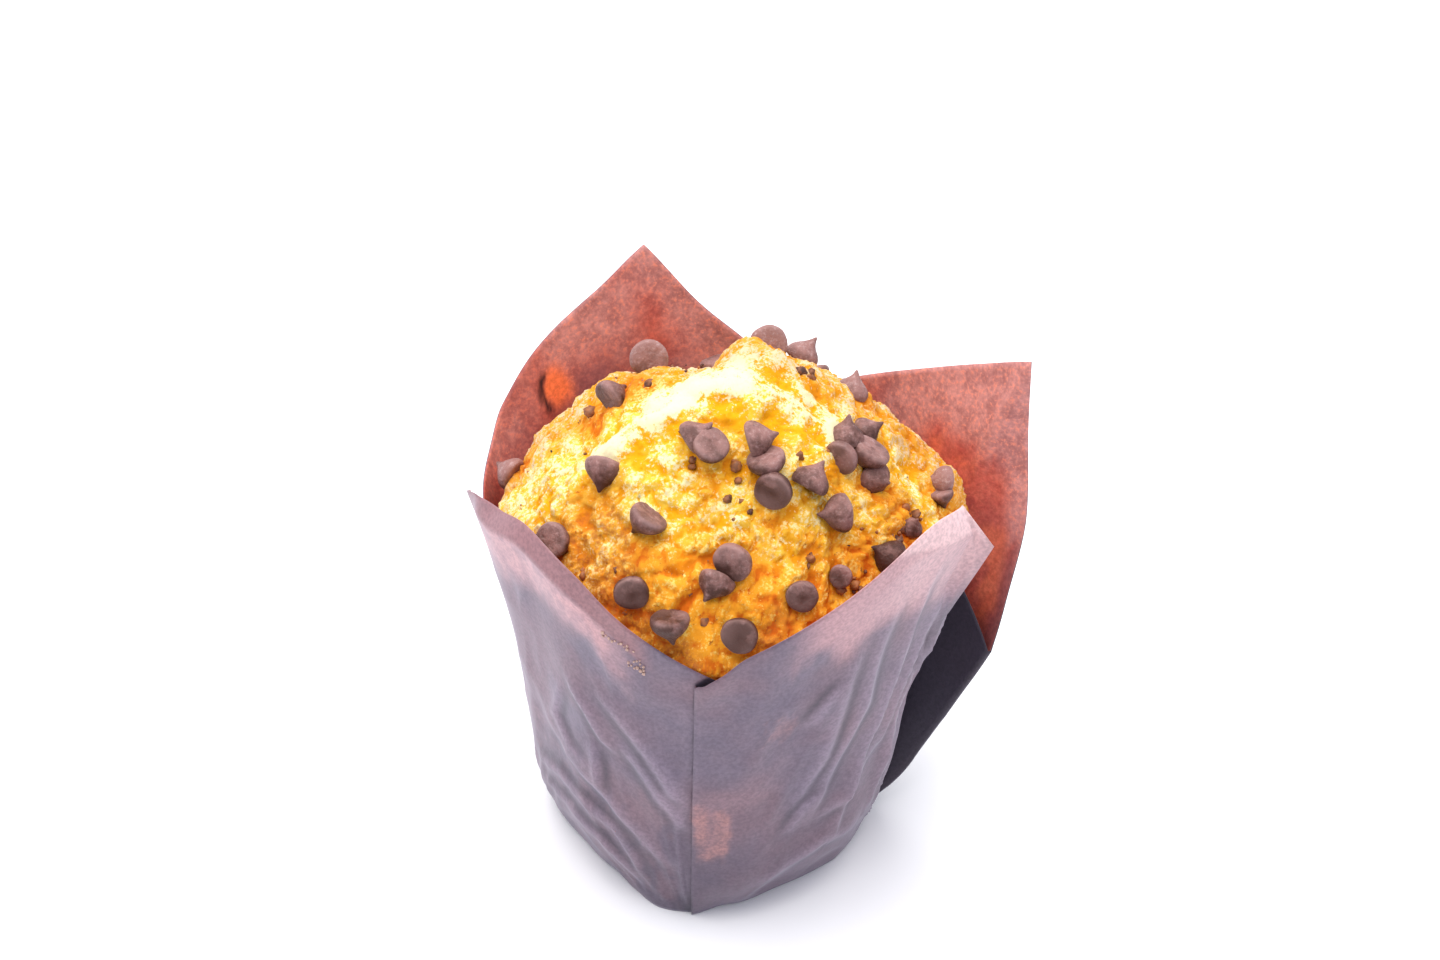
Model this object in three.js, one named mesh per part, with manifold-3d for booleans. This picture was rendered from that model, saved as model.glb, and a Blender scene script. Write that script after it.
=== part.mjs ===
// A domed chocolate-chip muffin in its tulip wrapper, one square sheet of dark parchment pressed into
// a round cup. The sheet's four corners stand up as petals and its spare width lies in four pleats.
// Millimetres, +Z up. The cup's foot is centred on the origin and rests on z = 0; the front is -Y.
// A bearing is counted in degrees from the front, growing towards +X, and a reach is the distance
// from the Z axis.
import * as THREE from "three";
import Module from "manifold-3d";

const wasm = await Module();
wasm.setup();

// ---- the paper ----
const PAPER = 0.4; // thickness: two or three times that of real parchment
const PITCH = 0.7; // spacing of the layers in a pleat
const CONE_REACH = 27.3; // the cup's wall, carried straight down to z = 0
const CONE_SLOPE = 0.08; // how far the wall leans out for each mm of height
const FOOT_ROUND = 12; // height over which the wall turns under to the foot
const FOOT_TUCK = 2.9; // how far it turns under, where a rib doesn't say otherwise
const FLARE_START = 28; // height at which the petals begin to leave the wall
const FLARE_POWER = 1.25;
const CREASE_POWER = 1.6;
const CREASE_SHARE = 0.9; // where the last row of a plain panel lies, as a share of its edge height
const ROWS = [0, 0.05, 0.12, 0.2, 0.34, 0.5, 0.67, 0.84, 1]; // heights, as shares of the crease height
const COLUMN_STEP = 5; // degrees between the columns of a panel
const FOLD_STEP = 7; // and between those of a layer inside a pleat
const PLEAT_FOOT = 1; // a pleat's width at the foot, in degrees
const OVER = 2.4; // the outermost layer: the pleat lies a little open at its fold
const SPRING = 0.3; // how far a fold has sprung open at the sheet's edge
const TURN_LIMIT = 0.35; // least value of 1 + cos(turn) when an edge is mitred

// ---- the crumb ----
const GAP = 0.96; // from the middle of the innermost paper to the crumb
const DOME_REACH = 34.6;
const DOME_RISE = 33;
const DOME_BASE = 55.5; // height of the dome's widest ring
const DOME_POWER = 1.25; // 2 would be an ellipse, 1 a cone
const DOME_EASE = 5; // rounds the crown
const DOME_SHIFT = 1; // the dome leans this far towards +X
const SHOULDER = 50; // height at which the crumb leaves the cup
const SHOULDER_FADE = 5; // height above it over which the crust's relief sets in
const CRUMB_FOOT = 0.75;
const RIM_FREE = 2.5; // height above the paper's edge that the crumb still keeps clear
const RIM_EASE = 0.4;
const SIDE_FREE = 2.5; // degrees to either side in which the crumb heeds the paper
const DOME_GRID = 40;
const WALL_HEIGHTS = [44, 26, 11, 5, 2];

// ---- the chips ----
const CHIP_PROFILE = [ // reach and height of each ring for a chip 1 mm wide and 1 mm tall
  [0.44, 0],
  [0.5, 0.13],
  [0.44, 0.38],
  [0.2, 0.66],
  [0.06, 0.95],
];
const CHIP_WIDTH = 5.7;
const CHIP_HEIGHT = 4.7;
const CHIP_SIDES = 10;
const CHIP_MIDDLE = 0.4; // the place on its axis that it is turned about, as a share of its height
const CHIP_LIFT = 1.1; // from the crust to that place

const CRUMB_COLOUR = 0xe3a13c;
const PAPER_COLOUR = 0x5b3a36;

const radians = THREE.MathUtils.degToRad;
const clamp = THREE.MathUtils.clamp;
const onBearing = (bearing, reach, z) =>
  new THREE.Vector3(reach * Math.sin(radians(bearing)), -reach * Math.cos(radians(bearing)), z);

// ---- lattice noise, from -1 to 1, the same for the same place ----
function hash(ix, iy, iz) {
  let h = (Math.imul(ix, 374761393) + Math.imul(iy, 668265263) + Math.imul(iz, 1440662683)) >>> 0;
  h = Math.imul(h ^ (h >>> 13), 1274126177) >>> 0;
  return ((h ^ (h >>> 16)) >>> 0) / 4294967295;
}

function noise(x, y, z) {
  const [ix, iy, iz] = [Math.floor(x), Math.floor(y), Math.floor(z)];
  const ease = (t) => t * t * (3 - 2 * t);
  const [tx, ty, tz] = [ease(x - ix), ease(y - iy), ease(z - iz)];
  let sum = 0;
  for (let corner = 0; corner < 8; corner++) {
    const [cx, cy, cz] = [corner & 1, (corner >> 1) & 1, corner >> 2];
    const weight = (cx ? tx : 1 - tx) * (cy ? ty : 1 - ty) * (cz ? tz : 1 - tz);
    sum += weight * hash(ix + cx, iy + cy, iz + cz);
  }
  return 2 * sum - 1;
}

// ---- the wrapper's ribs, in order of bearing ----
// A rib is one line up the sheet, from its foot to the sheet's edge. foot and top are its bearings,
// edge and reach the place of its upper end. A crease is a lower point that stands out of the plain
// flare by bulge. Layer counts the paper's layers below it in a pleat. The cup is a little out of
// round: wall is how far its wall stands out of the cone, and tuck how far it turns under. At a
// sharp rib the sheet is folded; at the others it bends smoothly.
const rib = (foot, top, edge, reach, more = {}) => ({
  foot,
  top,
  edge,
  reach,
  crease: edge * CREASE_SHARE,
  bulge: 0,
  layer: 0,
  wall: 0,
  tuck: FOOT_TUCK,
  start: FLARE_START,
  power: FLARE_POWER,
  sharp: false,
  ...more,
});

// A pleat: the sheet comes from lower bearings as the innermost layer, turns back under the fold,
// and turns again at the fold's line, which shows from outside. All four ribs share the cup's shape
// there; only the fold that shows may flare in a way of its own.
function pleat(foot, top, edge, reach, width, under, cup = {}, fold = {}) {
  const all = { sharp: true, ...cup };
  return [
    rib(foot + PLEAT_FOOT, top + width, under[0], under[1], { ...all, layer: 0 }),
    rib(foot + PLEAT_FOOT, top + width, under[0], under[1], { ...all, layer: 1 }),
    rib(foot, top, edge, reach - SPRING, { ...all, layer: OVER - 1, ...fold }),
    rib(foot, top, edge, reach, { ...all, layer: OVER, ...fold }),
  ];
}

const RIBS = [
  // front pleat, and the front right petal with its bent tip
  ...pleat(-5, -5, 55.6, 31.7, 13, [54, 31.4], { tuck: 1.7 }),
  rib(8, 10, 63.3, 32.4, { layer: OVER, tuck: 4 }),
  rib(26, 28, 69, 34.1, { layer: 0.3, tuck: 4 }),
  rib(44, 47, 74.2, 34.9, { crease: 70.4, bulge: 0.5, tuck: 3.5 }),
  rib(54, 58, 75.4, 35.4, { crease: 71.2, bulge: 1.4 }),
  rib(64, 70, 73.2, 36.2, { crease: 68.4, bulge: 2.8, sharp: true }),
  rib(67, 72, 65.8, 41, { sharp: true }),
  rib(75, 84, 57, 36, { wall: -0.6 }),
  // right pleat, sprung open as a fin, and the back right petal
  ...pleat(83, 83.5, 36.6, 39.8, 14, [46, 33.6], { wall: -1.3 }, { start: 2, power: 0.9 }),
  rib(92, 89, 43.6, 42.6, { start: 6, power: 1, layer: 0.8, wall: -1 }),
  rib(97, 96.5, 56, 45.8, { start: 14, wall: -0.6 }),
  rib(102, 102.5, 68, 46.1, { start: 20 }),
  rib(107, 105.2, 79.7, 46.1, { start: 24, sharp: true }),
  rib(118, 116, 73.9, 41.4),
  rib(132, 130, 67.4, 37.8),
  rib(148, 146, 61.2, 35.4),
  rib(163, 158, 58.4, 32.8),
  // back pleat and the back left petal
  ...pleat(170, 165, 57.5, 32.6, 11, [56, 31.6]),
  rib(181, 178, 65.2, 32.6, { layer: OVER }),
  rib(188, 188.4, 70.1, 36.4, { layer: 0.3 }),
  rib(199, 199.2, 78.7, 40.3, { sharp: true }),
  rib(212, 212, 73.2, 38.8),
  rib(226, 229, 66.4, 39.2),
  rib(237, 238, 60.6, 39.8, { wall: -0.4 }),
  rib(248, 250, 56, 37.6, { wall: -1 }),
  // left pleat and the front left petal, its edge bent in over the crumb
  ...pleat(272, 275, 64.4, 35.7, 8, [54, 31.4], { wall: -1.4 }),
  rib(277, 281, 67, 34.4, { crease: 63.8, bulge: 0.9, layer: OVER, wall: -1.4 }),
  rib(288, 290, 68.6, 32.6, { crease: 65.4, bulge: 2.2, layer: 1.6, wall: -1.2 }),
  rib(304, 304, 71.4, 32.5, { crease: 68.4, bulge: 2, layer: 0.3, wall: -0.9, tuck: 3.4 }),
  rib(320, 321, 70.4, 33.1, { crease: 66.8, bulge: 1.4, tuck: 3.9 }),
  rib(333, 334, 66.4, 33.2, { crease: 62, bulge: 0.4, tuck: 2.7 }),
  rib(345, 347, 61.6, 32.4, { tuck: 1.3 }),
];

// ---- the sheet as columns and rows of points ----
const KEYS = [
  "foot", "top", "edge", "reach", "crease", "bulge", "layer", "start", "power", "wall", "tuck",
];

function columnsOf(ribs) {
  const count = ribs.length;
  const value = (key, index) => {
    const lap = Math.floor(index / count);
    const own = ribs[index - lap * count][key];
    return key === "foot" || key === "top" ? own + 360 * lap : own;
  };
  const slope = (a, b) =>
    a * b <= 0 ? 0 : Math.sign(a) * Math.min(Math.abs(a + b) / 2, 3 * Math.abs(a), 3 * Math.abs(b));
  const columns = [];
  for (let i = 0; i < count; i++) {
    const span = Math.abs(value("top", i + 1) - value("top", i));
    const bothSharp = ribs[i].sharp && ribs[(i + 1) % count].sharp;
    const steps = Math.max(1, Math.round(span / (bothSharp ? FOLD_STEP : COLUMN_STEP)));
    for (let s = 0; s < steps; s++) {
      const t = s / steps;
      const column = {};
      for (const key of KEYS) {
        const [before, here, next, after] = [-1, 0, 1, 2].map((k) => value(key, i + k));
        const rise = next - here;
        const leave = ribs[i].sharp ? rise : slope(here - before, rise);
        const arrive = ribs[(i + 1) % count].sharp ? rise : slope(rise, after - next);
        column[key] =
          here * (2 * t ** 3 - 3 * t * t + 1) +
          leave * (t ** 3 - 2 * t * t + t) +
          next * (3 * t * t - 2 * t ** 3) +
          arrive * (t ** 3 - t * t);
      }
      columns.push(column);
    }
  }
  return columns;
}

// The middle of the paper on one column, at height z.
function sheetAt(column, z) {
  const { foot, top, edge, reach, crease, bulge, layer, start, power, wall, tuck } = column;
  const cone = (height) => CONE_REACH + wall + CONE_SLOPE * height;
  const flare = clamp((z - start) / (edge - start), 0, 1) ** power;
  const turn = tuck * clamp(1 - z / FOOT_ROUND, 0, 1) ** 2;
  const lift = z > crease
    ? clamp((edge - z) / (edge - crease), 0, 1)
    : clamp((z - FLARE_START) / (crease - FLARE_START), 0, 1) ** CREASE_POWER;
  const plain = cone(z) + (reach - cone(edge)) * flare - turn;
  return { bearing: foot + ((top - foot) * z) / edge, reach: plain + bulge * lift + PITCH * layer };
}

const columns = columnsOf(RIBS);
const wrap = (j) => (j + columns.length) % columns.length;

// The reach of the innermost paper at a bearing and a height, or Infinity above the sheet's edge.
function paperReach(bearing, z) {
  let least = Infinity;
  for (let j = 0; j < columns.length; j++) {
    const [a, b] = [columns[j], columns[wrap(j + 1)]];
    if (z > Math.min(a.edge, b.edge) + RIM_FREE) continue;
    const pa = sheetAt(a, Math.min(z, a.edge));
    const pb = sheetAt(b, Math.min(z, b.edge));
    const span = ((pb.bearing - pa.bearing + 540) % 360) - 180;
    const along = ((bearing - pa.bearing + 540) % 360) - 180;
    const share = Math.abs(span) < 1e-6 ? (Math.abs(along) < 0.5 ? 0 : -1) : along / span;
    if (share < -0.01 || share > 1.01) continue;
    const over = Math.max(0, z - (a.edge + (b.edge - a.edge) * share));
    least = Math.min(least, pa.reach + (pb.reach - pa.reach) * share + over * RIM_EASE);
  }
  return least;
}

// ---- a closed body from points and triangles ----
class Body {
  constructor() {
    this.points = [];
    this.faces = [];
  }

  point(p) {
    return this.points.push(p.clone()) - 1;
  }

  triangle(a, b, c) {
    this.faces.push([a, b, c]);
  }

  // Two rings of the same length, joined by quads that face away from the axis, or towards it.
  band(low, high, inwards = false) {
    low.forEach((a, j) => {
      const k = (j + 1) % low.length;
      if (inwards) {
        this.triangle(a, high[k], low[k]);
        this.triangle(a, high[j], high[k]);
      } else {
        this.triangle(a, low[k], high[k]);
        this.triangle(a, high[k], high[j]);
      }
    });
  }

  // A flat cap on a simple ring, facing up or down.
  cap(ring, up) {
    const flat = ring.map((i) => new THREE.Vector2(this.points[i].x, this.points[i].y));
    for (const [a, b, c] of THREE.ShapeUtils.triangulateShape(flat, [])) {
      const [p, q, r] = [flat[a], flat[b], flat[c]];
      const turn = (q.x - p.x) * (r.y - p.y) - (q.y - p.y) * (r.x - p.x);
      if (turn > 0 === up) this.triangle(ring[a], ring[b], ring[c]);
      else this.triangle(ring[a], ring[c], ring[b]);
    }
  }

  manifold() {
    return new wasm.Manifold(
      new wasm.Mesh({
        numProp: 3,
        vertProperties: new Float32Array(this.points.flatMap((p) => p.toArray())),
        triVerts: new Uint32Array(this.faces.flat()),
      }),
    );
  }
}

function meshOf(name, manifold, colour, roughness) {
  const made = manifold.getMesh();
  const corners = new Float32Array(made.numTri * 9);
  made.triVerts.forEach((vertex, i) => {
    for (let k = 0; k < 3; k++) corners[3 * i + k] = made.vertProperties[vertex * made.numProp + k];
  });
  const geometry = new THREE.BufferGeometry();
  geometry.setAttribute("position", new THREE.BufferAttribute(corners, 3));
  geometry.computeVertexNormals();
  const material = new THREE.MeshStandardMaterial({ color: colour, roughness, metalness: 0 });
  const mesh = new THREE.Mesh(geometry, material);
  mesh.name = name;
  return mesh;
}

// ---- the wrapper: the sheet given its thickness, with a flat bottom ----
function wrapperBody() {
  const heights = (column) => [...ROWS.map((share) => share * column.crease), column.edge];
  const middle = columns.map((column) =>
    heights(column).map((z) => {
      const at = sheetAt(column, z);
      return onBearing(at.bearing, at.reach, z);
    }),
  );
  const rows = middle[0].length;
  const strip = (j, i) => {
    const [a, b] = [middle[wrap(j)], middle[wrap(j + 1)]];
    const along = b[i].clone().sub(a[i]);
    const up = new THREE.Vector3(0, 0, 1);
    if (i > 0) {
      const [high, low] = [Math.min(i + 1, rows - 1), i - 1];
      up.copy(a[high]).add(b[high]).sub(a[low]).sub(b[low]);
    }
    return along.cross(up).normalize();
  };
  const body = new Body();
  const [outer, inner] = [[], []];
  for (let i = 0; i < rows; i++) {
    const [outerRing, innerRing] = [[], []];
    for (let j = 0; j < columns.length; j++) {
      const [left, right] = [strip(j - 1, i), strip(j, i)];
      const mitre = left.clone().add(right).divideScalar(Math.max(1 + left.dot(right), TURN_LIMIT));
      mitre.multiplyScalar(PAPER / 2);
      const [out, back] = [middle[j][i].clone().add(mitre), middle[j][i].clone().sub(mitre)];
      if (i === 0) {
        out.z = 0;
        back.z = PAPER;
      }
      outerRing.push(body.point(out));
      innerRing.push(body.point(back));
    }
    outer.push(outerRing);
    inner.push(innerRing);
  }
  for (let i = 0; i + 1 < rows; i++) {
    body.band(outer[i], outer[i + 1]);
    body.band(inner[i], inner[i + 1], true);
  }
  body.band(outer[rows - 1], inner[rows - 1]);
  body.cap(outer[0], false);
  body.cap(inner[0], true);
  return body;
}

// ---- the crumb: a cup-shaped foot under a cracked dome ----
const LUMPS = [ // place on the plan, spread and height of the dome's larger swellings and hollows
  [1, 11, 5, 1.9],
  [-4, 8, 4, -3.1],
  [-5, 14.5, 5, -3],
  [-3, 19, 5, -1.4],
  [9, 14.5, 3.5, -1],
  [17, 15, 3, -1.3],
  [21, 10, 6, 1],
  [32, 9, 7, 1.7],
  [-19, 14, 9, 0.5],
  [-16, -4, 9, 0.7],
  [17, -19, 6, -1],
  [-9, -22, 7, 0.6],
  [-13, 29, 11, -3],
  [9, 31, 11, -3],
  [26, 21, 8, -2],
];

function domeHeight(reach) {
  const eased = Math.hypot(reach, DOME_EASE) / DOME_REACH;
  return DOME_BASE + DOME_RISE * Math.max(0, 1 - eased ** DOME_POWER) ** (1 / DOME_POWER);
}

// The dome's section from the crown to the shoulder, as even steps of length.
function domeSection() {
  const FINE = 240;
  const equator = Math.sqrt(DOME_REACH ** 2 - DOME_EASE ** 2);
  const waist = CONE_REACH + CONE_SLOPE * SHOULDER - GAP;
  const points = [];
  for (let i = 0; i <= FINE; i++) {
    const reach = equator * Math.sin((Math.PI / 2) * (i / FINE));
    points.push([reach, domeHeight(reach)]);
  }
  for (let i = 1; i <= FINE; i++) {
    const t = i / FINE;
    points.push([equator - (equator - waist) * t ** 1.7, DOME_BASE - (DOME_BASE - SHOULDER) * t]);
  }
  const lengths = [0];
  for (let i = 1; i < points.length; i++) {
    const step = Math.hypot(points[i][0] - points[i - 1][0], points[i][1] - points[i - 1][1]);
    lengths.push(lengths[i - 1] + step);
  }
  const whole = lengths[lengths.length - 1];
  return (share) => {
    const goal = share * whole;
    let i = 1;
    while (i < lengths.length - 1 && lengths[i] < goal) i++;
    const t = (goal - lengths[i - 1]) / (lengths[i] - lengths[i - 1]);
    return [0, 1].map((k) => points[i - 1][k] + (points[i][k] - points[i - 1][k]) * t);
  };
}

// How far the crust stands out of the plain dome at a place.
function relief(x, y, z) {
  let sum = 1.1 * noise(x / 13, y / 13, z / 13) + 0.7 * noise(x / 6 + 40, y / 6, z / 6);
  sum += 0.45 * noise(x / 3.2, y / 3.2 + 70, z / 3.2);
  for (const [lx, ly, spread, height] of LUMPS) {
    sum += height * Math.exp(-((x - lx) ** 2 + (y - ly) ** 2) / spread ** 2);
  }
  return sum;
}

const section = domeSection();

// A point of the crust. share runs from 0 at the crown to 1 at the shoulder.
function crust(share, bearing) {
  const [reach, z] = section(share);
  const [lower, higher] = [section(Math.min(share + 0.01, 1)), section(Math.max(share - 0.01, 0))];
  const tangent = [lower[0] - higher[0], lower[1] - higher[1]];
  const length = Math.hypot(...tangent) || 1;
  const plain = onBearing(bearing, reach, z);
  const fade = clamp((z - SHOULDER) / SHOULDER_FADE, 0, 1);
  const stand = relief(plain.x, plain.y, plain.z) * fade;
  const out = (stand * -tangent[1]) / length;
  const up = (stand * tangent[0]) / length;
  const point = onBearing(bearing, reach + out, z + up);
  point.x += DOME_SHIFT * fade;
  return keepInPaper(point);
}

// Draws a point in until it clears the wrapper.
function keepInPaper(point) {
  const reach = Math.hypot(point.x, point.y);
  const bearing = THREE.MathUtils.radToDeg(Math.atan2(point.x, -point.y));
  const near = [-SIDE_FREE, 0, SIDE_FREE].map((aside) => paperReach(bearing + aside, point.z));
  const most = Math.min(...near) - GAP;
  if (reach <= most) return point;
  return new THREE.Vector3((point.x * most) / reach, (point.y * most) / reach, point.z);
}

function crumbBody() {
  const body = new Body();
  // the dome is a square net laid on a disc, so that no point gathers many thin triangles
  const net = [];
  for (let i = 0; i <= DOME_GRID; i++) {
    net.push([]);
    for (let j = 0; j <= DOME_GRID; j++) {
      const [a, b] = [(2 * i) / DOME_GRID - 1, (2 * j) / DOME_GRID - 1];
      const share = Math.max(Math.abs(a), Math.abs(b));
      let turn = 0;
      if (share > 0) turn = Math.abs(a) >= Math.abs(b) ? (45 * b) / a : 90 - (45 * a) / b;
      if (Math.abs(a) >= Math.abs(b) ? a < 0 : b < 0) turn += 180;
      net[i].push(body.point(crust(share, turn + 90)));
    }
  }
  for (let i = 0; i < DOME_GRID; i++) {
    for (let j = 0; j < DOME_GRID; j++) {
      const [a, b, c, d] = [net[i][j], net[i + 1][j], net[i + 1][j + 1], net[i][j + 1]];
      const [p, q, r, s] = [a, b, c, d].map((v) => body.points[v]);
      if (p.distanceTo(r) < q.distanceTo(s)) {
        body.triangle(a, b, c);
        body.triangle(a, c, d);
      } else {
        body.triangle(a, b, d);
        body.triangle(b, c, d);
      }
    }
  }
  // the net's border, once round
  const border = [];
  for (let i = 0; i < DOME_GRID; i++) border.push(net[i][0]);
  for (let j = 0; j < DOME_GRID; j++) border.push(net[DOME_GRID][j]);
  for (let i = DOME_GRID; i > 0; i--) border.push(net[i][DOME_GRID]);
  for (let j = DOME_GRID; j > 0; j--) border.push(net[0][j]);
  // below the shoulder every second column goes on
  const ring = (z, count) => {
    const turn = FOOT_TUCK * clamp(1 - z / FOOT_ROUND, 0, 1) ** 2;
    const reach = CONE_REACH + CONE_SLOPE * z - turn - GAP;
    return Array.from({ length: count }, (_, k) => {
      const from = body.points[border[(k * border.length) / count]];
      const bearing = THREE.MathUtils.radToDeg(Math.atan2(from.x, -from.y));
      return body.point(keepInPaper(onBearing(bearing, reach, z)));
    });
  };
  let upper = ring(WALL_HEIGHTS[0], border.length / 2);
  upper.forEach((a, k) => {
    const b = upper[(k + 1) % upper.length];
    const top = [0, 1, 2].map((s) => border[(2 * k + s) % border.length]);
    body.triangle(a, top[1], top[0]);
    body.triangle(a, b, top[1]);
    body.triangle(b, top[2], top[1]);
  });
  for (const z of [...WALL_HEIGHTS.slice(1), CRUMB_FOOT]) {
    const next = ring(z, upper.length);
    body.band(next, upper);
    upper = next;
  }
  body.cap(upper, false);
  return body;
}

// ---- a chip: a drop with a flat round base, its tip drawn out ----
function chipBody(size) {
  const body = new Body();
  const [width, tall] = [CHIP_WIDTH * size, CHIP_HEIGHT * size];
  const rings = CHIP_PROFILE.map(([reach, height]) =>
    Array.from({ length: CHIP_SIDES }, (_, k) =>
      body.point(onBearing((360 * k) / CHIP_SIDES, reach * width, (height - CHIP_MIDDLE) * tall)),
    ),
  );
  rings.slice(1).forEach((high, i) => body.band(rings[i], high));
  body.cap(rings[0], false);
  body.cap(rings[rings.length - 1], true);
  return body;
}

// x and y on the plan, the bearing its tip points to, the tip's angle from straight up, a size, and
// how much deeper than the others it has sunk
const CHIPS = [
  [-10.8, 13, -175, 120, 1, -0.6],
  [-15.4, 3.8, 140, 85, 0.9],
  [-3.3, -9.5, 105, 55, 0.95],
  [-2, -11.1, -130, 155, 0.95],
  [-16.4, -10, -15, 120, 1],
  [-10.2, -18.3, -72, 148, 1, -0.7],
  [-22.9, -15, 135, 135, 0.95],
  [-11.7, -24.8, -175, 105, 0.92, -0.6],
  [-6.1, -29, 10, 162, 1, -1.7],
  [3.2, -29.7, 170, 112, 0.95],
  [2.1, -22.8, 160, 105, 1],
  [-0.7, -25.8, -22, 115, 0.95],
  [5.6, 13.6, -165, 125, 1, 0.3],
  [10.8, 15, 125, 40, 0.9, -1.1],
  [18.1, 10.4, 145, 35, 0.9],
  [5, -9.8, 97, 72, 1],
  [6, -12.8, 70, 160, 1],
  [7.2, -15.1, 160, 100, 1],
  [12.2, -12.5, 140, 45, 1],
  [15.4, -15.2, -65, 85, 1],
  [16.8, -2.6, 175, 30, 0.95],
  [20.4, 0.9, 95, 60, 0.8],
  [16.4, -7, 155, 100, 0.9],
  [19.8, -4.7, -72, 150, 1],
  [21.6, -7, 40, 80, 0.9],
  [11.4, -25, 180, 115, 0.82],
  [16.9, -21.1, 165, 120, 0.6],
  [22.9, -15.8, -100, 45, 0.9],
  [27.1, -9.2, 85, 25, 0.6],
  [31.1, 3.1, -80, 80, 0.85],
  [31.7, 0.9, 35, 155, 0.65],
  [-31.6, 9.6, -125, 85, 0.9],
  [-17.5, 25.5, 60, 110, 0.95, 1.4],
  [-8.5, 29.5, -20, 130, 1, 1.2],
  [-1, 26.5, 40, 145, 0.95, 1.5],
  [6.5, 28.6, -60, 115, 1, 2.2],
  [13.5, 25.5, 20, 130, 0.95, 1.4],
  [21.5, 23, -30, 130, 1, 1.8],
];

// The crust's height and lean over a place on the plan.
function crustOver(x, y) {
  const height = (u, v) => domeHeight(Math.hypot(u - DOME_SHIFT, v));
  const step = 0.5;
  const z = height(x, y);
  const fallX = height(x - step, y) - height(x + step, y);
  const fallY = height(x, y - step) - height(x, y + step);
  const lean = new THREE.Vector3(fallX, fallY, 2 * step);
  return { z: z + relief(x - DOME_SHIFT, y, z) * 0.7, out: lean.normalize() };
}

function placedChip([x, y, heading, lean, size, sunk = 0]) {
  const { z, out } = crustOver(x, y);
  const tip = onBearing(heading, Math.sin(radians(lean)), Math.cos(radians(lean)));
  const turn = new THREE.Quaternion().setFromUnitVectors(new THREE.Vector3(0, 0, 1), tip);
  const centre = new THREE.Vector3(x, y, z).addScaledVector(out, CHIP_LIFT * size - sunk);
  const body = chipBody(size);
  body.points.forEach((p) => p.applyQuaternion(turn).add(centre));
  return body.manifold();
}

let muffin = crumbBody().manifold();
for (const chip of CHIPS) muffin = muffin.add(placedChip(chip));

const part = new THREE.Group();
part.add(meshOf("muffin", muffin, CRUMB_COLOUR, 0.85));
part.add(meshOf("wrapper", wrapperBody().manifold(), PAPER_COLOUR, 0.7));

export default part;
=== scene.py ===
# %% [markdown]
# # A chocolate-chip muffin in its tulip wrapper
# A muffin of this kind is baked in a tulip wrapper: one square sheet of brown parchment pushed into
# a round cup, so that its four corners stand up as petals and its spare width lies in four pleats.
# The lesson makes five pieces: the wrapper, the crumb, the chips, the chocolate crumbs between
# them, and a few crumbs that stuck to the paper.
#
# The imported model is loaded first. Its two solids fix where everything is; the new pieces take
# their place on the screen. All sizes below are millimetres and become metres in the mesh.

import bpy
import numpy as np
from mathutils import Matrix


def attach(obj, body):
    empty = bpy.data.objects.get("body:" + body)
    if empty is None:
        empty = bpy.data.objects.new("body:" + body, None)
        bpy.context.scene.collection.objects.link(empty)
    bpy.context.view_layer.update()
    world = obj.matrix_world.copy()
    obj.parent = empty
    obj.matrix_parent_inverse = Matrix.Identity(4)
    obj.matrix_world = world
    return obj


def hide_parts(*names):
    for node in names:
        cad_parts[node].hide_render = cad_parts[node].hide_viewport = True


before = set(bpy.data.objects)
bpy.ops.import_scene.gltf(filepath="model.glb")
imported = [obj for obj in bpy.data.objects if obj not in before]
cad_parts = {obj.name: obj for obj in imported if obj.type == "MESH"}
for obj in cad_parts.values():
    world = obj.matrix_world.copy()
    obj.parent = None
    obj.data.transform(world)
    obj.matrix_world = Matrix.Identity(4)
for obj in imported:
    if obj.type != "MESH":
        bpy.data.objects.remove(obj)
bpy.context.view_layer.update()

# %% [markdown]
# ## Tools
# A place on a round thing is easiest to say as a bearing, counted in degrees from the front and
# growing to the right, a reach from the upright axis, and a height. Roughness comes from lattice
# noise: every corner of a cubic lattice has a fixed random value, and a point takes the smooth
# blend of the eight corners round it. The same place always gets the same value, so shapes and
# colours that are worked out separately still agree.


# %% Places, noise and meshes
def place(bearing, reach, z):
    """x = reach * sin(bearing), y = -reach * cos(bearing)."""
    turn = np.radians(bearing)
    return np.stack(np.broadcast_arrays(reach * np.sin(turn), -reach * np.cos(turn), z), -1)


def corner_value(ix, iy, iz):
    """A whole-number hash of a lattice corner, from 0 to 1."""
    prime = [np.uint32(p) for p in (374761393, 668265263, 1440662683, 1274126177)]
    h = ix.astype(np.uint32) * prime[0] + iy.astype(np.uint32) * prime[1] + iz.astype(np.uint32) * prime[2]
    h = (h ^ (h >> np.uint32(13))) * prime[3]
    return (h ^ (h >> np.uint32(16))) / 4294967295.0


def noise(x, y, z=0.0):
    """Smooth lattice noise from -1 to 1: the eased blend of the eight corners round the point."""
    x, y, z = np.broadcast_arrays(x, y, z)
    low = [np.floor(v).astype(np.int64) for v in (x, y, z)]
    ease = [(v - i) ** 2 * (3 - 2 * (v - i)) for v, i in zip((x, y, z), low)]
    total = 0.0
    for corner in range(8):
        bits = [(corner >> k) & 1 for k in range(3)]
        weight = np.prod([e if b else 1 - e for e, b in zip(ease, bits)], axis=0)
        total = total + weight * corner_value(*(i + b for i, b in zip(low, bits)))
    return 2 * total - 1


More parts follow.
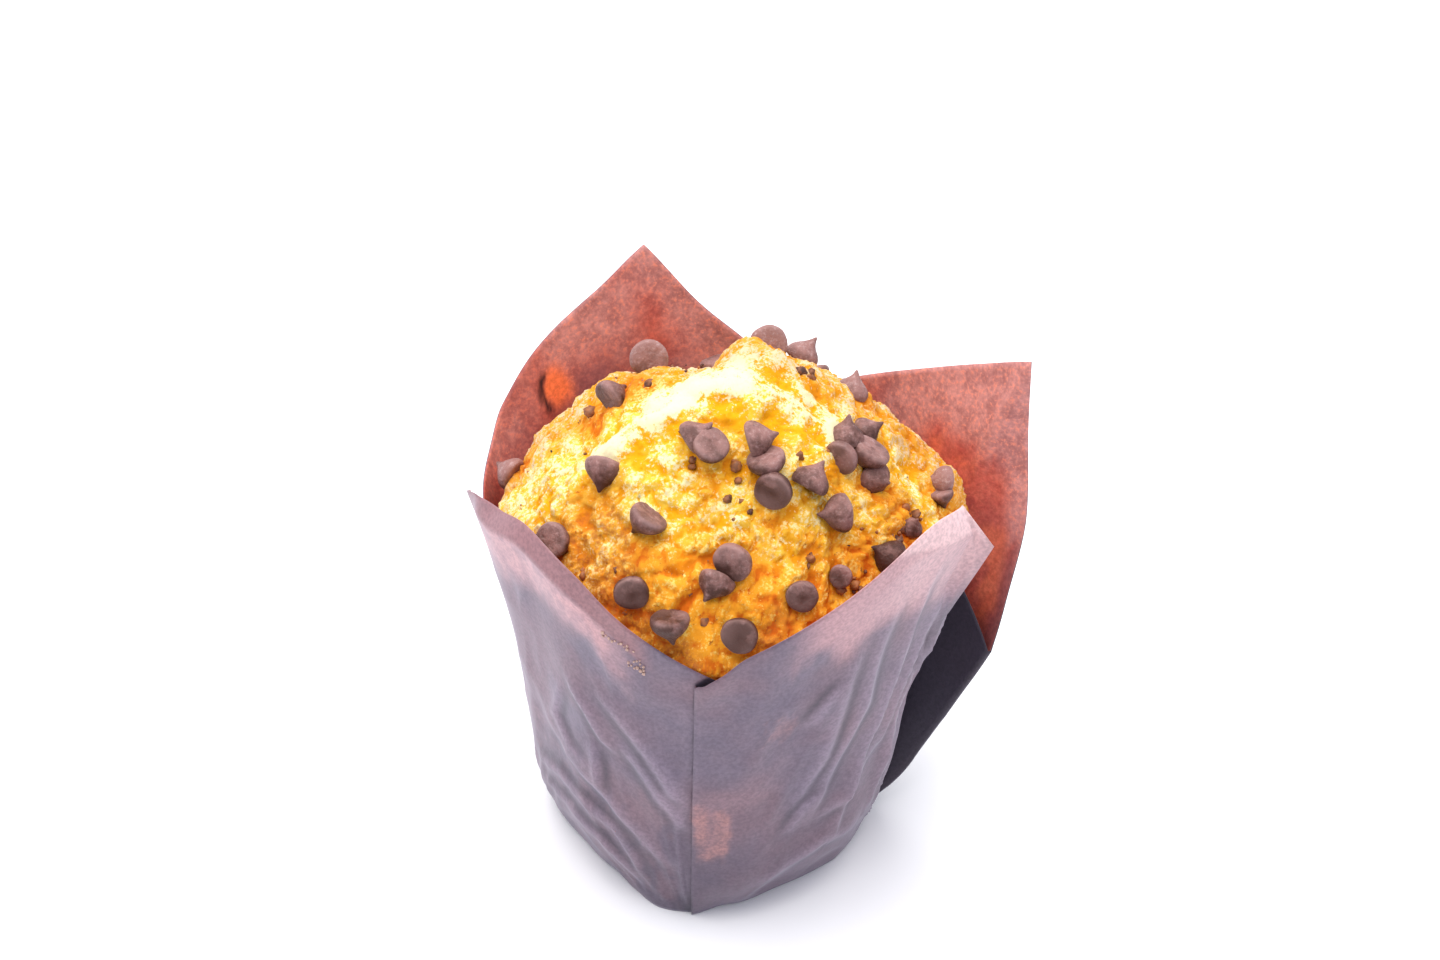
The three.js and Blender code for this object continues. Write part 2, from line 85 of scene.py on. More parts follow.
def pits(p, cell, seed):
    """1 at the middle of a pit and 0 between pits: each lattice cell holds one jittered point, and a
    place measures its distance to the nearest, in cells."""
    q = p / cell + seed
    base = np.floor(q).astype(np.int64)
    least = np.full(q.shape[:-1], 9.0)
    for step in np.ndindex(3, 3, 3):
        cell_corner = base + step - 1
        i, j, k = np.moveaxis(cell_corner, -1, 0)
        jitter = [corner_value(i + 17 * n, j - 31 * n, k + 7 * n) for n in range(3)]
        gap = np.linalg.norm(cell_corner + 0.15 + 0.7 * np.stack(jitter, -1) - q, axis=-1)
        least = np.minimum(least, gap)
    return np.clip(1 - least / 0.85, 0, 1)


def smooth(low, high, value):
    """0 below low, 1 above high, and an eased step between them."""
    t = np.clip((value - low) / (high - low), 0, 1)
    return t * t * (3 - 2 * t)


def make_piece(name, points, faces, materials, face_slots=None, values=None):
    """A mesh object at the origin from points in millimetres, with smooth faces and with any named
    values that its materials read at each point."""
    mesh = bpy.data.meshes.new(name)
    mesh.from_pydata((points * 0.001).tolist(), [], faces.tolist() if hasattr(faces, "tolist") else faces)
    for material in materials:
        mesh.materials.append(material)
    if face_slots is not None:
        mesh.polygons.foreach_set("material_index", np.asarray(face_slots, np.int32))
    mesh.polygons.foreach_set("use_smooth", np.ones(len(mesh.polygons), bool))
    for key, value in (values or {}).items():
        layer = mesh.attributes.new(key, "FLOAT", "POINT")
        layer.data.foreach_set("value", np.asarray(value, np.float32))
    mesh.validate()
    piece = bpy.data.objects.new(name, mesh)
    bpy.context.scene.collection.objects.link(piece)
    print(f"{name}: {len(mesh.vertices)} points, {len(mesh.polygons)} faces")
    return piece


# %% [markdown]
# ## The sheet
# The wrapper is described by ribs, lines that run up the sheet from its foot to its edge. A rib
# gives the bearing of its foot and its top, the height and reach of its upper end, a crease below
# the edge that may stand out by a bulge, and how many layers of paper lie under it. Between two
# ribs every measure follows a smooth cubic that never overshoots; at a sharp rib the sheet is
# folded. A pleat is then four ribs: the sheet runs in underneath, turns back, and turns again at the
# fold that shows. The cup is a little out of round, so a rib may move the wall in or out and tuck
# it under more or less at the foot. The table is the one that the solid is built from; only the
# layers of a pleat lie closer, because real parchment is thin.

# %% The ribs
PITCH = 0.7  # mm for one layer
OVER = 2.4  # the layer that shows at a pleat
PLEAT_LAYERS = (1.65, 1.9, 2.15, OVER)
CONE_REACH, CONE_SLOPE = 27.3, 0.08
FOOT_TUCK, FOOT_ROUND = 2.9, 12
FLARE_START, FLARE_POWER, CREASE_POWER = 28, 1.25, 1.6
PLAIN = {}


def rib(foot, top, edge, reach, crease=None, bulge=0, layer=0,
        wall=0, tuck=FOOT_TUCK, start=FLARE_START, power=FLARE_POWER, sharp=False):
    """A row of twelve measures; a rib that names no crease has it at nine tenths of its height."""
    crease = crease or 0.9 * edge
    return [foot, top, edge, reach, crease, bulge, layer, start, power, wall, tuck, float(sharp)]


def pleat(foot, top, edge, reach, width, under, cup=PLAIN, fold=PLAIN):
    """Four ribs: the sheet runs in to `width` degrees under the fold, where it ends at `under`, turns
    back, and turns again at the fold. `cup` holds all four ribs' measures and `fold` the last two's."""
    low, turned, back, over = PLEAT_LAYERS
    return [
        rib(foot + 1, top + width, *under, layer=low, sharp=True, **cup),
        rib(foot + 1, top + width, *under, layer=turned, sharp=True, **cup),
        rib(foot, top, edge, reach - 0.3, layer=back, sharp=True, **cup, **fold),
        rib(foot, top, edge, reach, layer=over, sharp=True, **cup, **fold),
    ]


RIBS = [
    # front pleat, and the front right petal with its bent tip
    *pleat(-5, -5, 55.6, 31.7, 13, (54, 31.4), dict(tuck=1.7)),
    rib(8, 10, 63.3, 32.4, layer=OVER, tuck=4),
    rib(26, 28, 69, 34.1, layer=0.3, tuck=4),
    rib(44, 47, 74.2, 34.9, crease=70.4, bulge=0.5, tuck=3.5),
    rib(54, 58, 75.4, 35.4, crease=71.2, bulge=1.4),
    rib(64, 70, 73.2, 36.2, crease=68.4, bulge=2.8, sharp=True),
    rib(67, 72, 65.8, 41, sharp=True),
    rib(75, 84, 57, 36, layer=0.8, wall=-0.6),
    # right pleat, sprung open as a fin, and the back right petal
    *pleat(83, 83.5, 36.6, 39.8, 14, (46, 33.6), dict(wall=-1.3), dict(start=2, power=0.9)),
    rib(92, 89, 43.6, 42.6, start=6, power=1, layer=0.8, wall=-1),
    rib(97, 96.5, 56, 45.8, start=14, wall=-0.6),
    rib(102, 102.5, 68, 46.1, start=20),
    rib(107, 105.2, 79.7, 46.1, start=24, sharp=True),
    rib(118, 116, 73.9, 41.4),
    rib(132, 130, 67.4, 37.8),
    rib(148, 146, 61.2, 35.4),
    rib(163, 158, 58.4, 32.8, layer=1),
    # back pleat and the back left petal
    *pleat(170, 165, 57.5, 32.6, 11, (56, 31.6)),
    rib(181, 178, 65.2, 32.6, layer=OVER),
    rib(188, 188.4, 70.1, 36.4, layer=0.3),
    rib(199, 199.2, 78.7, 40.3, sharp=True),
    rib(212, 212, 73.2, 38.8),
    rib(226, 229, 66.4, 39.2),
    rib(237, 238, 60.6, 39.8, wall=-0.4),
    rib(248, 250, 56, 37.6, layer=0.6, wall=-1),
    # left pleat and the front left petal, its edge bent in over the crumb
    *pleat(272, 275, 64.4, 35.7, 8, (54, 31.4), dict(wall=-1.4)),
    rib(277, 281, 67, 34.4, crease=63.8, bulge=0.9, layer=OVER, wall=-1.4),
    rib(288, 290, 68.6, 32.6, crease=65.4, bulge=2.2, layer=1.6, wall=-1.2),
    rib(304, 304, 71.4, 32.5, crease=68.4, bulge=2, layer=0.3, wall=-0.9, tuck=3.4),
    rib(320, 321, 70.4, 33.1, crease=66.8, bulge=1.4, tuck=3.9),
    rib(333, 334, 66.4, 33.2, crease=62, bulge=0.4, layer=0.6, tuck=2.7),
    rib(345, 347, 61.6, 32.4, layer=1.4, tuck=1.3),
]


# %% From ribs to columns
def sheet_columns(ribs, step):
    """Every measure of the sheet at columns about `step` degrees apart. Between ribs a and b it is the
    Hermite cubic whose end slopes are the mean of the rises beside each rib, held to three times the
    smaller one, and zero where the rises disagree; beside a fold the slope is the span's own rise."""
    table = np.array(ribs)
    count = len(table)
    lap = np.zeros(table.shape[1])
    lap[:2] = 360
    index, share = [], []
    for i in range(count):
        a, b = table[i], table[(i + 1) % count]
        span = abs(b[1] + (360 if i + 1 == count else 0) - a[1])
        steps = max(2, round(span / step))
        index += [i] * steps
        share += [s / steps for s in range(steps)]
    i, t = np.array(index), np.array(share)[:, None]

    def at(k):
        return table[(i + k) % count] + ((i + k) // count)[:, None] * lap

    before, here, after, beyond = at(-1), at(0), at(1), at(2)

    def slope(a, b):
        held = np.minimum(np.abs(a + b) / 2, 3 * np.minimum(np.abs(a), np.abs(b)))
        return np.where(a * b <= 0, 0, np.sign(a) * held)

    rise = after - here
    leave = np.where(here[:, -1:] > 0.5, rise, slope(here - before, rise))
    arrive = np.where(after[:, -1:] > 0.5, rise, slope(rise, beyond - after))
    cubic = here * (2 * t**3 - 3 * t**2 + 1) + leave * (t**3 - 2 * t**2 + t)
    return cubic + after * (3 * t**2 - 2 * t**3) + arrive * (t**3 - t**2)


def sheet_reach(columns, z):
    """Bearing and reach of the sheet at height z of each column: a slightly conical wall that turns
    under to the foot, flares to the edge, and stands out at the crease."""
    foot, top, edge, reach, crease, bulge, layer, start, power, wall, tuck = columns.T[:11]
    flare = np.clip((z - start) / (edge - start), 0, 1) ** power
    cone = CONE_REACH + wall
    turned = tuck * np.clip(1 - z / FOOT_ROUND, 0, 1) ** 2
    rising = np.clip((z - FLARE_START) / (crease - FLARE_START), 0, 1) ** CREASE_POWER
    lift = np.where(z > crease, np.clip((edge - z) / (edge - crease), 0, 1), rising)
    plain = cone + CONE_SLOPE * z + (reach - cone - CONE_SLOPE * edge) * flare - turned
    return foot + (top - foot) * z / edge, plain + bulge * lift + PITCH * layer


columns = sheet_columns(RIBS, 0.85)
print("columns:", len(columns))

# %% [markdown]
# ## Wrinkles
# Parchment that has been pushed into a cup keeps sharp little creases. They run from the petals
# down towards the bottom of the pleats, where the sheet was drawn together, so each is laid as a
# line of places on the unrolled wall, with a steep side and a gentle one. Fainter ones are ridged
# noise in a fan about the bottom of each pleat. The paper also buckles softly as a whole. A painted
# highlight runs along a crease's line and the fan's ridges, and painted shade lies in the crook on a
# crease's steep side, so both are kept for the finish. The back petals have lower copies of some of
# the front's creases, half a turn on.

# %% Creases on the unrolled wall
MM_PER_DEGREE = 0.53  # along the wall, at its usual reach
PLEAT_BEARINGS = [-5, 83, 168, 273]
# height (a groove's is negative), width of the upper or left side, width of the other side, then
# the bearings and heights of the line
CREASES = [
    (1.2, 2.6, 1.0, [(-45, 45), (-37, 41), (-32, 36.5), (-27, 35)]),
    (0.9, 1.0, 2.2, [(-37, 34), (-36, 29.5), (-35.5, 24)]),
    (1.1, 1.4, 2.8, [(-77, 14), (-56, 18.3), (-42, 17.8), (-30, 16.5), (-23, 11.4), (-21, 6)]),
    (0.9, 2.8, 1.3, [(-63, 28.4), (-52, 27.3), (-40.5, 24.6), (-31, 22.7), (-20.5, 17.8), (-11, 12)]),
    (0.8, 1.2, 2.6, [(-49, 43), (-55.5, 32.2), (-46.7, 28.8), (-37.5, 28)]),
    (0.95, 3.0, 1.4, [(-33, 47), (-25, 43), (-17.5, 38), (-11, 31.6), (-6.4, 26.6)]),
    (0.75, 2.3, 1.3, [(-27.5, 37.7), (-19.7, 33.8), (-12, 27.5), (-6.3, 21.8)]),
    (0.5, 2.0, 1.2, [(-15, 38), (-10, 31), (-5.5, 29)]),
    (0.9, 1.2, 2.3, [(-68.5, 11), (-50, 12.4), (-37, 11.6), (-27.6, 8.4), (-21, 4.4)]),
    (1.5, 0.9, 2.2, [(62, 68), (58.7, 62), (57, 47), (51, 34.7), (45.5, 22.4), (41, 12)]),
    (1.1, 1.2, 2.4, [(50, 62), (46.8, 53), (44.5, 41.8), (37.6, 31.6), (30.5, 18.8)]),
    (0.8, 1.3, 3.0, [(40, 56), (37.2, 48.8), (32.5, 33.3), (23.6, 23.2)]),
    (1.5, 0.8, 1.8, [(75, 50), (69.5, 42), (64.3, 31.6), (62.6, 21), (60, 12)]),
    (1.2, 0.7, 1.5, [(70, 58), (66, 46), (62, 36), (57, 27)]),
    (1.2, 0.9, 2.0, [(84, 50), (79, 34), (75.5, 18), (74, 8)]),
    (1.0, 0.8, 1.6, [(76, 50), (71, 36), (66, 24), (62, 12)]),
    (0.9, 1.1, 2.2, [(57.7, 29.3), (49.5, 25.4), (44, 20.7), (33, 19)]),
    (0.6, 2.4, 3.5, [(25.7, 42.8), (31, 47.4), (36.5, 50)]),
    (1.1, 4.0, 1.8, [(14, 7.5), (25.7, 10.4), (38.3, 12.4), (55.4, 10)]),
    (0.7, 1.1, 2.2, [(23, 18.3), (29, 23.4), (36.3, 26)]),
    (-1.3, 0.8, 1.2, [(73.5, 40), (70, 34), (66, 28)]),
]
BACK_CREASES = [CREASES[k] for k in (2, 6, 8, 10, 12, 14, 16)]  # their like runs on the back petals too
BACK_SHARE = 0.75
CREASES += [
    (BACK_SHARE * height, above, below, [(b + 180, z) for b, z in line])
    for height, above, below, line in BACK_CREASES
]
print("creases:", len(CREASES))


def crease_lift(bearing, z):
    """The sum over the creases of height * exp(-(distance / width)^1.2), the distance being taken to
    the crease's line on the unrolled wall and the width depending on the side. A crease fades out
    towards both its ends. The other results, from 0 to 1, are how near a place is to a crease's line,
    where a highlight is painted, and how deep it lies in the crook on a crease's steep side, where a
    shade is painted."""
    total, crease_highlight, under = np.zeros_like(z), np.zeros_like(z), np.zeros_like(z)
    for height, above, below, line in CREASES:
        line = np.array(line, float)
        middle = line[:, 0].mean()
        u = MM_PER_DEGREE * ((bearing - middle + 180) % 360 - 180)
        line = (line - (middle, 0)) * (MM_PER_DEGREE, 1)
        lengths = np.linalg.norm(np.diff(line, axis=0), axis=1)
        passed = np.concatenate([[0], np.cumsum(lengths)])
        near = np.full(z.shape, np.inf)
        side, along = np.zeros_like(z), np.zeros_like(z)
        for k, (a, b) in enumerate(zip(line[:-1], line[1:])):
            way = (b - a) / lengths[k]
            s = np.clip((u - a[0]) * way[0] + (z - a[1]) * way[1], 0, lengths[k])
            du, dz = u - a[0] - s * way[0], z - a[1] - s * way[1]
            far = np.hypot(du, dz)
            closer = far < near
            near = np.where(closer, far, near)
            side = np.where(closer, way[0] * dz - way[1] * du, side)
            along = np.where(closer, (passed[k] + s) / passed[-1], along)
        width = np.where(side > 0, above, below)
        fade = np.sqrt(np.clip(np.sin(np.pi * along), 0.02, 1))
        total = total + height * np.exp(-((near / width) ** 1.2)) * fade
        # where a highlight is painted along the crease's line
        crease_highlight = np.maximum(crease_highlight, np.exp(-((near / 1.3) ** 2)) * fade * (height > 0))
        steep = smooth(0.3, -0.3, side) if above > below else smooth(-0.3, 0.3, side)
        # where a shade is painted in the crook on the crease's steep side
        under = np.maximum(under, np.exp(-(((near - 1.7) / 1.0) ** 2)) * fade * steep)
    return total, crease_highlight, under


def fan_lift(bearing, z):
    """Ridged noise, 1 - |noise|, in polar places about the bottom of each pleat, so that the ridges
    run towards it; it is weighted by the nearness of that pleat."""
    total = np.zeros_like(z)
    for k, centre in enumerate(PLEAT_BEARINGS):
        u = MM_PER_DEGREE * ((bearing - centre + 180) % 360 - 180)
        angle, radius = np.arctan2(u, z + 8), np.hypot(u, z + 8)
        ridge = 1 - np.abs(noise(angle * 7 + 11 * k, radius / 17))
        fine = 1 - np.abs(noise(angle * 17 + 5 * k, radius / 9 + 20))
        total = total + (0.6 * ridge**2 + 0.25 * fine**2) * np.exp(-((u / 19) ** 2))
    return total


def sheet_lift(bearing, z, edge):
    """How far the sheet's creases and buckles move it out, fading at its foot and its edge, with the
    creases' two finish values: a painted highlight along their lines and the fan's ridges, and a
    painted shade in their crooks."""
    own = smooth(0, 5, z) * smooth(0, 18, edge - z)
    for centre in PLEAT_BEARINGS:  # the layers of a pleat press each other flat
        past = (bearing - centre + 180) % 360 - 180
        own = own * (1 - 0.6 * smooth(-4, 0, past) * smooth(22, 13, past))
    soft = 0.3 * noise(bearing / 17 + 9, z / 13) * smooth(2, 14, z) * (1 - 0.5 * smooth(0, 12, z - edge + 12))
    folds, crease_highlight, under = crease_lift(bearing, z)
    fan = fan_lift(bearing, z)
    crease_highlight = own * np.clip(crease_highlight + 0.5 * smooth(0.55, 0.85, fan), 0, 1)
    return own * (folds + fan - 1.05) + soft, crease_highlight, own * under * (1 - crease_highlight)


# %% [markdown]
# ## The paper's finish
# Brown parchment looks cool and greyish outside, where it mirrors the pale room; that grey is a
# painted reflection in the outside's colours, with a painted rim of light where the paper turns away.
# Inside it is warm red brown, where the crumb's fat has soaked in. So the outside and the inside are
# two materials. Both share one effect, the mottled fibre of the paper, which is a node group. Where
# the finish follows the sheet, such as the blush near its thin top edges, a stain or the soaked band,
# the mesh carries a value at each point and the material reads it. Several of these values are
# painted highlights and painted shade.

# %% Node helpers
def new_material(name):
    """A material with its node tree and its one shader."""
    material = bpy.data.materials.new(name)
    material.use_nodes = True
    nodes = material.node_tree.nodes
    return material, material.node_tree, nodes["Principled BSDF"]


def add(tree, kind, **settings):
    """A new node. A setting is one of the node's properties or else the value of one of its inputs, in
    whose name _ stands for a space."""
    node = tree.nodes.new(kind)
    for key, value in settings.items():
        if hasattr(node, key):
            setattr(node, key, value)
        else:
            node.inputs[key.replace("_", " ")].default_value = value
    return node


def blend(tree, factor, first, second, mode="MIX"):
    """A colour mix node; each of its three inputs may be a socket, a number or a colour."""
    node = tree.nodes.new("ShaderNodeMix")
    node.data_type = "RGBA"
    node.blend_type = mode
    for socket, value in zip((node.inputs[0], node.inputs[6], node.inputs[7]), (factor, first, second)):
        if isinstance(value, bpy.types.NodeSocket):
            tree.links.new(value, socket)
        else:
            socket.default_value = value if isinstance(value, (int, float)) else (*value, 1)
    return node.outputs[2]


def calculate(tree, operation, *values):
    """A maths node on sockets or numbers."""
    node = tree.nodes.new("ShaderNodeMath")
    node.operation = operation
    for socket, value in zip(node.inputs, values):
        if isinstance(value, bpy.types.NodeSocket):
            tree.links.new(value, socket)
        else:
            socket.default_value = value
    return node.outputs[0]


def spread(tree, value, low, high, to_low=0.0, to_high=1.0):
    """Maps low..high to to_low..to_high, clamped and eased."""
    node = add(tree, "ShaderNodeMapRange", interpolation_type="SMOOTHSTEP")
    for key, number in (("From Min", low), ("From Max", high), ("To Min", to_low), ("To Max", to_high)):
        node.inputs[key].default_value = number
    tree.links.new(value, node.inputs["Value"])
    return node.outputs["Result"]


def reading(tree, name):
    """A value that the mesh carries at each point."""
    return add(tree, "ShaderNodeAttribute", attribute_name=name).outputs["Fac"]


def noise_node(tree, coordinates, size, detail=3.0, roughness=0.55):
    """Noise whose features are about `size` millimetres wide."""
    node = add(tree, "ShaderNodeTexNoise")
    node.inputs["Scale"].default_value = 1000 / size
    node.inputs["Detail"].default_value = detail
    node.inputs["Roughness"].default_value = roughness
    tree.links.new(coordinates, node.inputs["Vector"])
    return node.outputs["Fac"]


def object_place(tree):
    return add(tree, "ShaderNodeTexCoord").outputs["Object"]


def weighted_sum(tree, *terms):
    """The sum of weight * value, each term being a socket and its weight."""
    parts = [calculate(tree, "MULTIPLY", value, weight) for value, weight in terms]
    total = parts[0]
    for part in parts[1:]:
        total = calculate(tree, "ADD", total, part)
    return total


def add_bump(tree, shader, height, strength, distance):
    bump = add(tree, "ShaderNodeBump", Strength=strength, Distance=distance)
    tree.links.new(height, bump.inputs["Height"])
    tree.links.new(bump.outputs["Normal"], shader.inputs["Normal"])


# %% The fibre of the paper, as a node group
def fibre_group():
    """Mottle is noise 3.5 mm wide, and grain is noise as wide as the fibre size, in millimetres."""
    group = bpy.data.node_groups.new("paper fibre", "ShaderNodeTree")
    size = group.interface.new_socket("Fibre Size", in_out="INPUT", socket_type="NodeSocketFloat")
    size.default_value = 0.6
    for name in ("Mottle", "Grain"):
        group.interface.new_socket(name, in_out="OUTPUT", socket_type="NodeSocketFloat")
    inside = add(group, "NodeGroupInput")
    result = add(group, "NodeGroupOutput")
    where = object_place(group)
    scale = calculate(group, "DIVIDE", 1000.0, inside.outputs["Fibre Size"])
    grain = add(group, "ShaderNodeTexNoise", Detail=4.0, Roughness=0.62)
    group.links.new(where, grain.inputs["Vector"])
    group.links.new(scale, grain.inputs["Scale"])
    mottle = noise_node(group, where, 3.5, 5.0, 0.7)
    group.links.new(mottle, result.inputs["Mottle"])
    group.links.new(grain.outputs["Fac"], result.inputs["Grain"])
    return group


FIBRE = fibre_group()


def fibre(tree, size):
    """The mottle and the grain of the group, placed in a material with its own size of fibre."""
    node = add(tree, "ShaderNodeGroup")
    node.node_tree = FIBRE
    node.inputs["Fibre Size"].default_value = size
    return node.outputs["Mottle"], node.outputs["Grain"]


# %% Outside of the parchment
OUTSIDE_TINTS = {  # the colour that each finish value leads to, laid on in this order
    # painted shade, darker towards the foot
    "low": (0.072, 0.05, 0.075),
    "blush": (0.56, 0.3, 0.3),
    "tan": (0.285, 0.135, 0.14),
    # painted highlight on the right petal's bent tip, and a faint painted sheen
    "tip_highlight_and_sheen": (0.74, 0.50, 0.485),
    # painted highlight along the creases' lines and the fan's ridges
    "crease_highlight": (0.33, 0.26, 0.33),
    # painted shade in the crook on a crease's steep side
    "crease_shade": (0.05, 0.036, 0.052),
}


def parchment_outside():
    material, tree, shader = new_material("parchment outside")
    mottle, grain = fibre(tree, 0.6)
    where = object_place(tree)
    cloud = noise_node(tree, where, 17, 2.0, 0.5)
    # the paper's brown with a painted reflection of the pale room, which makes it greyish mauve
    colour = blend(tree, spread(tree, cloud, 0.38, 0.62), (0.121, 0.092, 0.131), (0.17, 0.1, 0.124))
    colour = blend(tree, spread(tree, mottle, 0.3, 0.75, 0.0, 0.35), colour, (0.215, 0.15, 0.185))
    for name, tint in OUTSIDE_TINTS.items():
        colour = blend(tree, reading(tree, name), colour, tint)
    ragged = spread(tree, grain, 0.32, 0.66, 0.7, 1.0)
    stain = calculate(tree, "MULTIPLY", reading(tree, "stain"), ragged)
    colour = blend(tree, stain, colour, (0.4, 0.185, 0.165))
    colour = blend(tree, reading(tree, "shade"), colour, (0.022, 0.017, 0.03))
    speckle = blend(tree, spread(tree, grain, 0.3, 0.7), (0.8, 0.79, 0.81), (1.16, 1.15, 1.16))
    colour = blend(tree, 1.0, colour, speckle, "MULTIPLY")
    # painted reflection of the room, paler where the paper turns away
    facing = add(tree, "ShaderNodeLayerWeight", Blend=0.35).outputs["Facing"]
    rim_light = calculate(tree, "MULTIPLY", calculate(tree, "POWER", facing, 3.0), 0.5)
    colour = blend(tree, rim_light, colour, (0.42, 0.39, 0.47))
    tree.links.new(colour, shader.inputs["Base Color"])
    shader.inputs["Roughness"].default_value = 0.5
    shader.inputs["Specular IOR Level"].default_value = 0.4
    shader.inputs["Sheen Weight"].default_value = 0.1
    shader.inputs["Sheen Roughness"].default_value = 0.5
    shader.inputs["Sheen Tint"].default_value = (0.8, 0.8, 1, 1)
    add_bump(tree, shader, grain, 0.35, 0.00012)
    return material


# %% Inside of the parchment
# the first tint is painted shade with darker blots, the second the thickest fat with painted light through
# it, the third a painted shadow in a crescent
INSIDE_TINTS = {"inner_shade_and_blots": (0.25, 0.068, 0.072), "glow": (0.88, 0.2, 0.07), "bulge_shadow": (0.05, 0.015, 0.018)}


def parchment_inside():
    material, tree, shader = new_material("parchment inside")
    mottle, grain = fibre(tree, 0.7)
    where = object_place(tree)
    patches = spread(tree, mottle, 0.32, 0.68)
    blot = spread(tree, noise_node(tree, where, 7, 4.0, 0.6), 0.4, 0.62)
    dry = blend(tree, patches, (0.39, 0.155, 0.143), (0.6, 0.27, 0.245))
    dry = blend(tree, spread(tree, grain, 0.5, 0.66, 0.0, 0.6), dry, (0.7, 0.235, 0.155))
    soaked = blend(tree, patches, (0.4, 0.068, 0.052), (0.72, 0.17, 0.105))
    soaked = blend(tree, calculate(tree, "MULTIPLY", blot, 0.5), soaked, (0.27, 0.062, 0.058))
    colour = blend(tree, reading(tree, "soak"), dry, soaked)
    for name, tint in INSIDE_TINTS.items():
        colour = blend(tree, reading(tree, name), colour, tint)
    speckle = blend(tree, spread(tree, grain, 0.3, 0.7), (0.82, 0.79, 0.8), (1.17, 1.15, 1.14))
    colour = blend(tree, 1.0, colour, speckle, "MULTIPLY")
    tree.links.new(colour, shader.inputs["Base Color"])
    shader.inputs["Roughness"].default_value = 0.6
    shader.inputs["Specular IOR Level"].default_value = 0.3
    add_bump(tree, shader, grain, 0.35, 0.00015)
    return material


# %% [markdown]
# ## The wrapper
# The sheet is first a grid of its middle line, rows by columns. Its two faces are that grid moved
# out and in by half the paper's thickness, along the mean of the normals on both sides of each
# column, so the fold lines stay crisp. The foot is closed with flat rings.

# %% The grid of the sheet
PAPER = 0.15  # its thickness
SHEET_ROWS, BAND_ROWS, FOOT_RINGS = 78, 7, 5
CORNER_LIFT = 0.8
# shares of the creases' painted highlight and painted shade
CREASE_HIGHLIGHT_SHARE, CREASE_SHADE_SHARE = 0.4, 0.95


def corner_lift(bearing, z):
    """The front pleat's top corner stands off the sheet below by up to CORNER_LIFT. The step is a
    product of eased steps in bearing and in the distance to the edge, on the outermost layer only."""
    b = (bearing + 180) % 360 - 180
    near = smooth(-5, -2.5, b) * smooth(7, 1, b) * smooth(8, 1, columns[:, 2] - z)
    return CORNER_LIFT * (columns[:, 6] > OVER - 0.05) * near


def wrapper_grid():
    """Rows by columns of points, their bearings and heights, and the creases' two finish values, a
    painted highlight and a painted shade. Below the crease a row is a share of the crease's height,
    above it a share of what is left."""
    edge, crease = columns[:, 2], columns[:, 4]
    low = np.linspace(0, 1, SHEET_ROWS)[:, None] * crease
    high = crease + np.linspace(0, 1, BAND_ROWS + 1)[1:, None] * (edge - crease)
    z = np.vstack([low, high])
    bearing, reach = sheet_reach(columns, z)
    lift, crease_highlight, under = sheet_lift(bearing, z, edge)
    lift = lift + corner_lift(bearing, z)
    creased = {"crease_highlight": CREASE_HIGHLIGHT_SHARE * crease_highlight, "crease_shade": CREASE_SHADE_SHARE * under}
    return place(bearing, reach + lift, z), bearing, z, creased


def grid_normals(middle):
    """The mitred normal of each grid point: the sum of the unit normals of the strips left and right
    of it, over one plus their dot product, so that the offset faces stay parallel at a fold."""
    along = np.roll(middle, -1, axis=1) - middle
    up = np.gradient(middle, axis=0)
    up = up + np.roll(up, -1, axis=1)
    strip = np.cross(along, up)
    strip /= np.linalg.norm(strip, axis=-1, keepdims=True)
    left = np.roll(strip, 1, axis=1)
    dot = np.sum(left * strip, -1, keepdims=True)
    return (left + strip) / np.maximum(1 + dot, 0.35)


def ring_faces(first, count):
    """Quads between the ring that starts at point `first` and the next one above it."""
    j = np.arange(count)
    k = (j + 1) % count
    return np.stack([first + j, first + k, first + count + k, first + count + j], 1)


# %% Finish values of the sheet
LEFT_FOLD, RIGHT_FOLD = -85.4, 84  # the front petals lie between these bearings
PETAL_MM_PER_DEGREE = 0.66
FIN_EDGE = np.array([(84, 36.6), (89, 43.6), (96.5, 56), (102.5, 68), (105.2, 79.7)])
FACET_TOP, FACET_SLOPE, FACET_START = 73.9, 0.21, 45.8  # the lower line of the front right petal's bent tip
STAIN, STAIN_HALF = (0.4, 21.2), (4.6, 6)  # bearing and height of its middle, and half its size
SMALL_STAIN = (17.5, 43.7)
SLIT_HEIGHT, SLIT_SLOPE = 55.6, 0.76  # where the hollow under the front pleat's corner starts
BULGE, BULGE_HALF = (-135, 60), (2.7, 3.6)
# middle of the painted shadow in a crescent beside the bulge
CRESCENT_SHADOW = (-134.4, 59.6)


def clouds(bearing, z):
    """Bearings from -180 to 180, and noise on the unrolled wall in three sizes: about 9, 2 and 0.9
    degrees wide."""
    b = (bearing + 180) % 360 - 180
    return b, noise(b / 9 + 3, z / 7, 5), noise(b / 2.2, z / 1.8, 9), noise(b / 0.9, z / 0.7, 2)


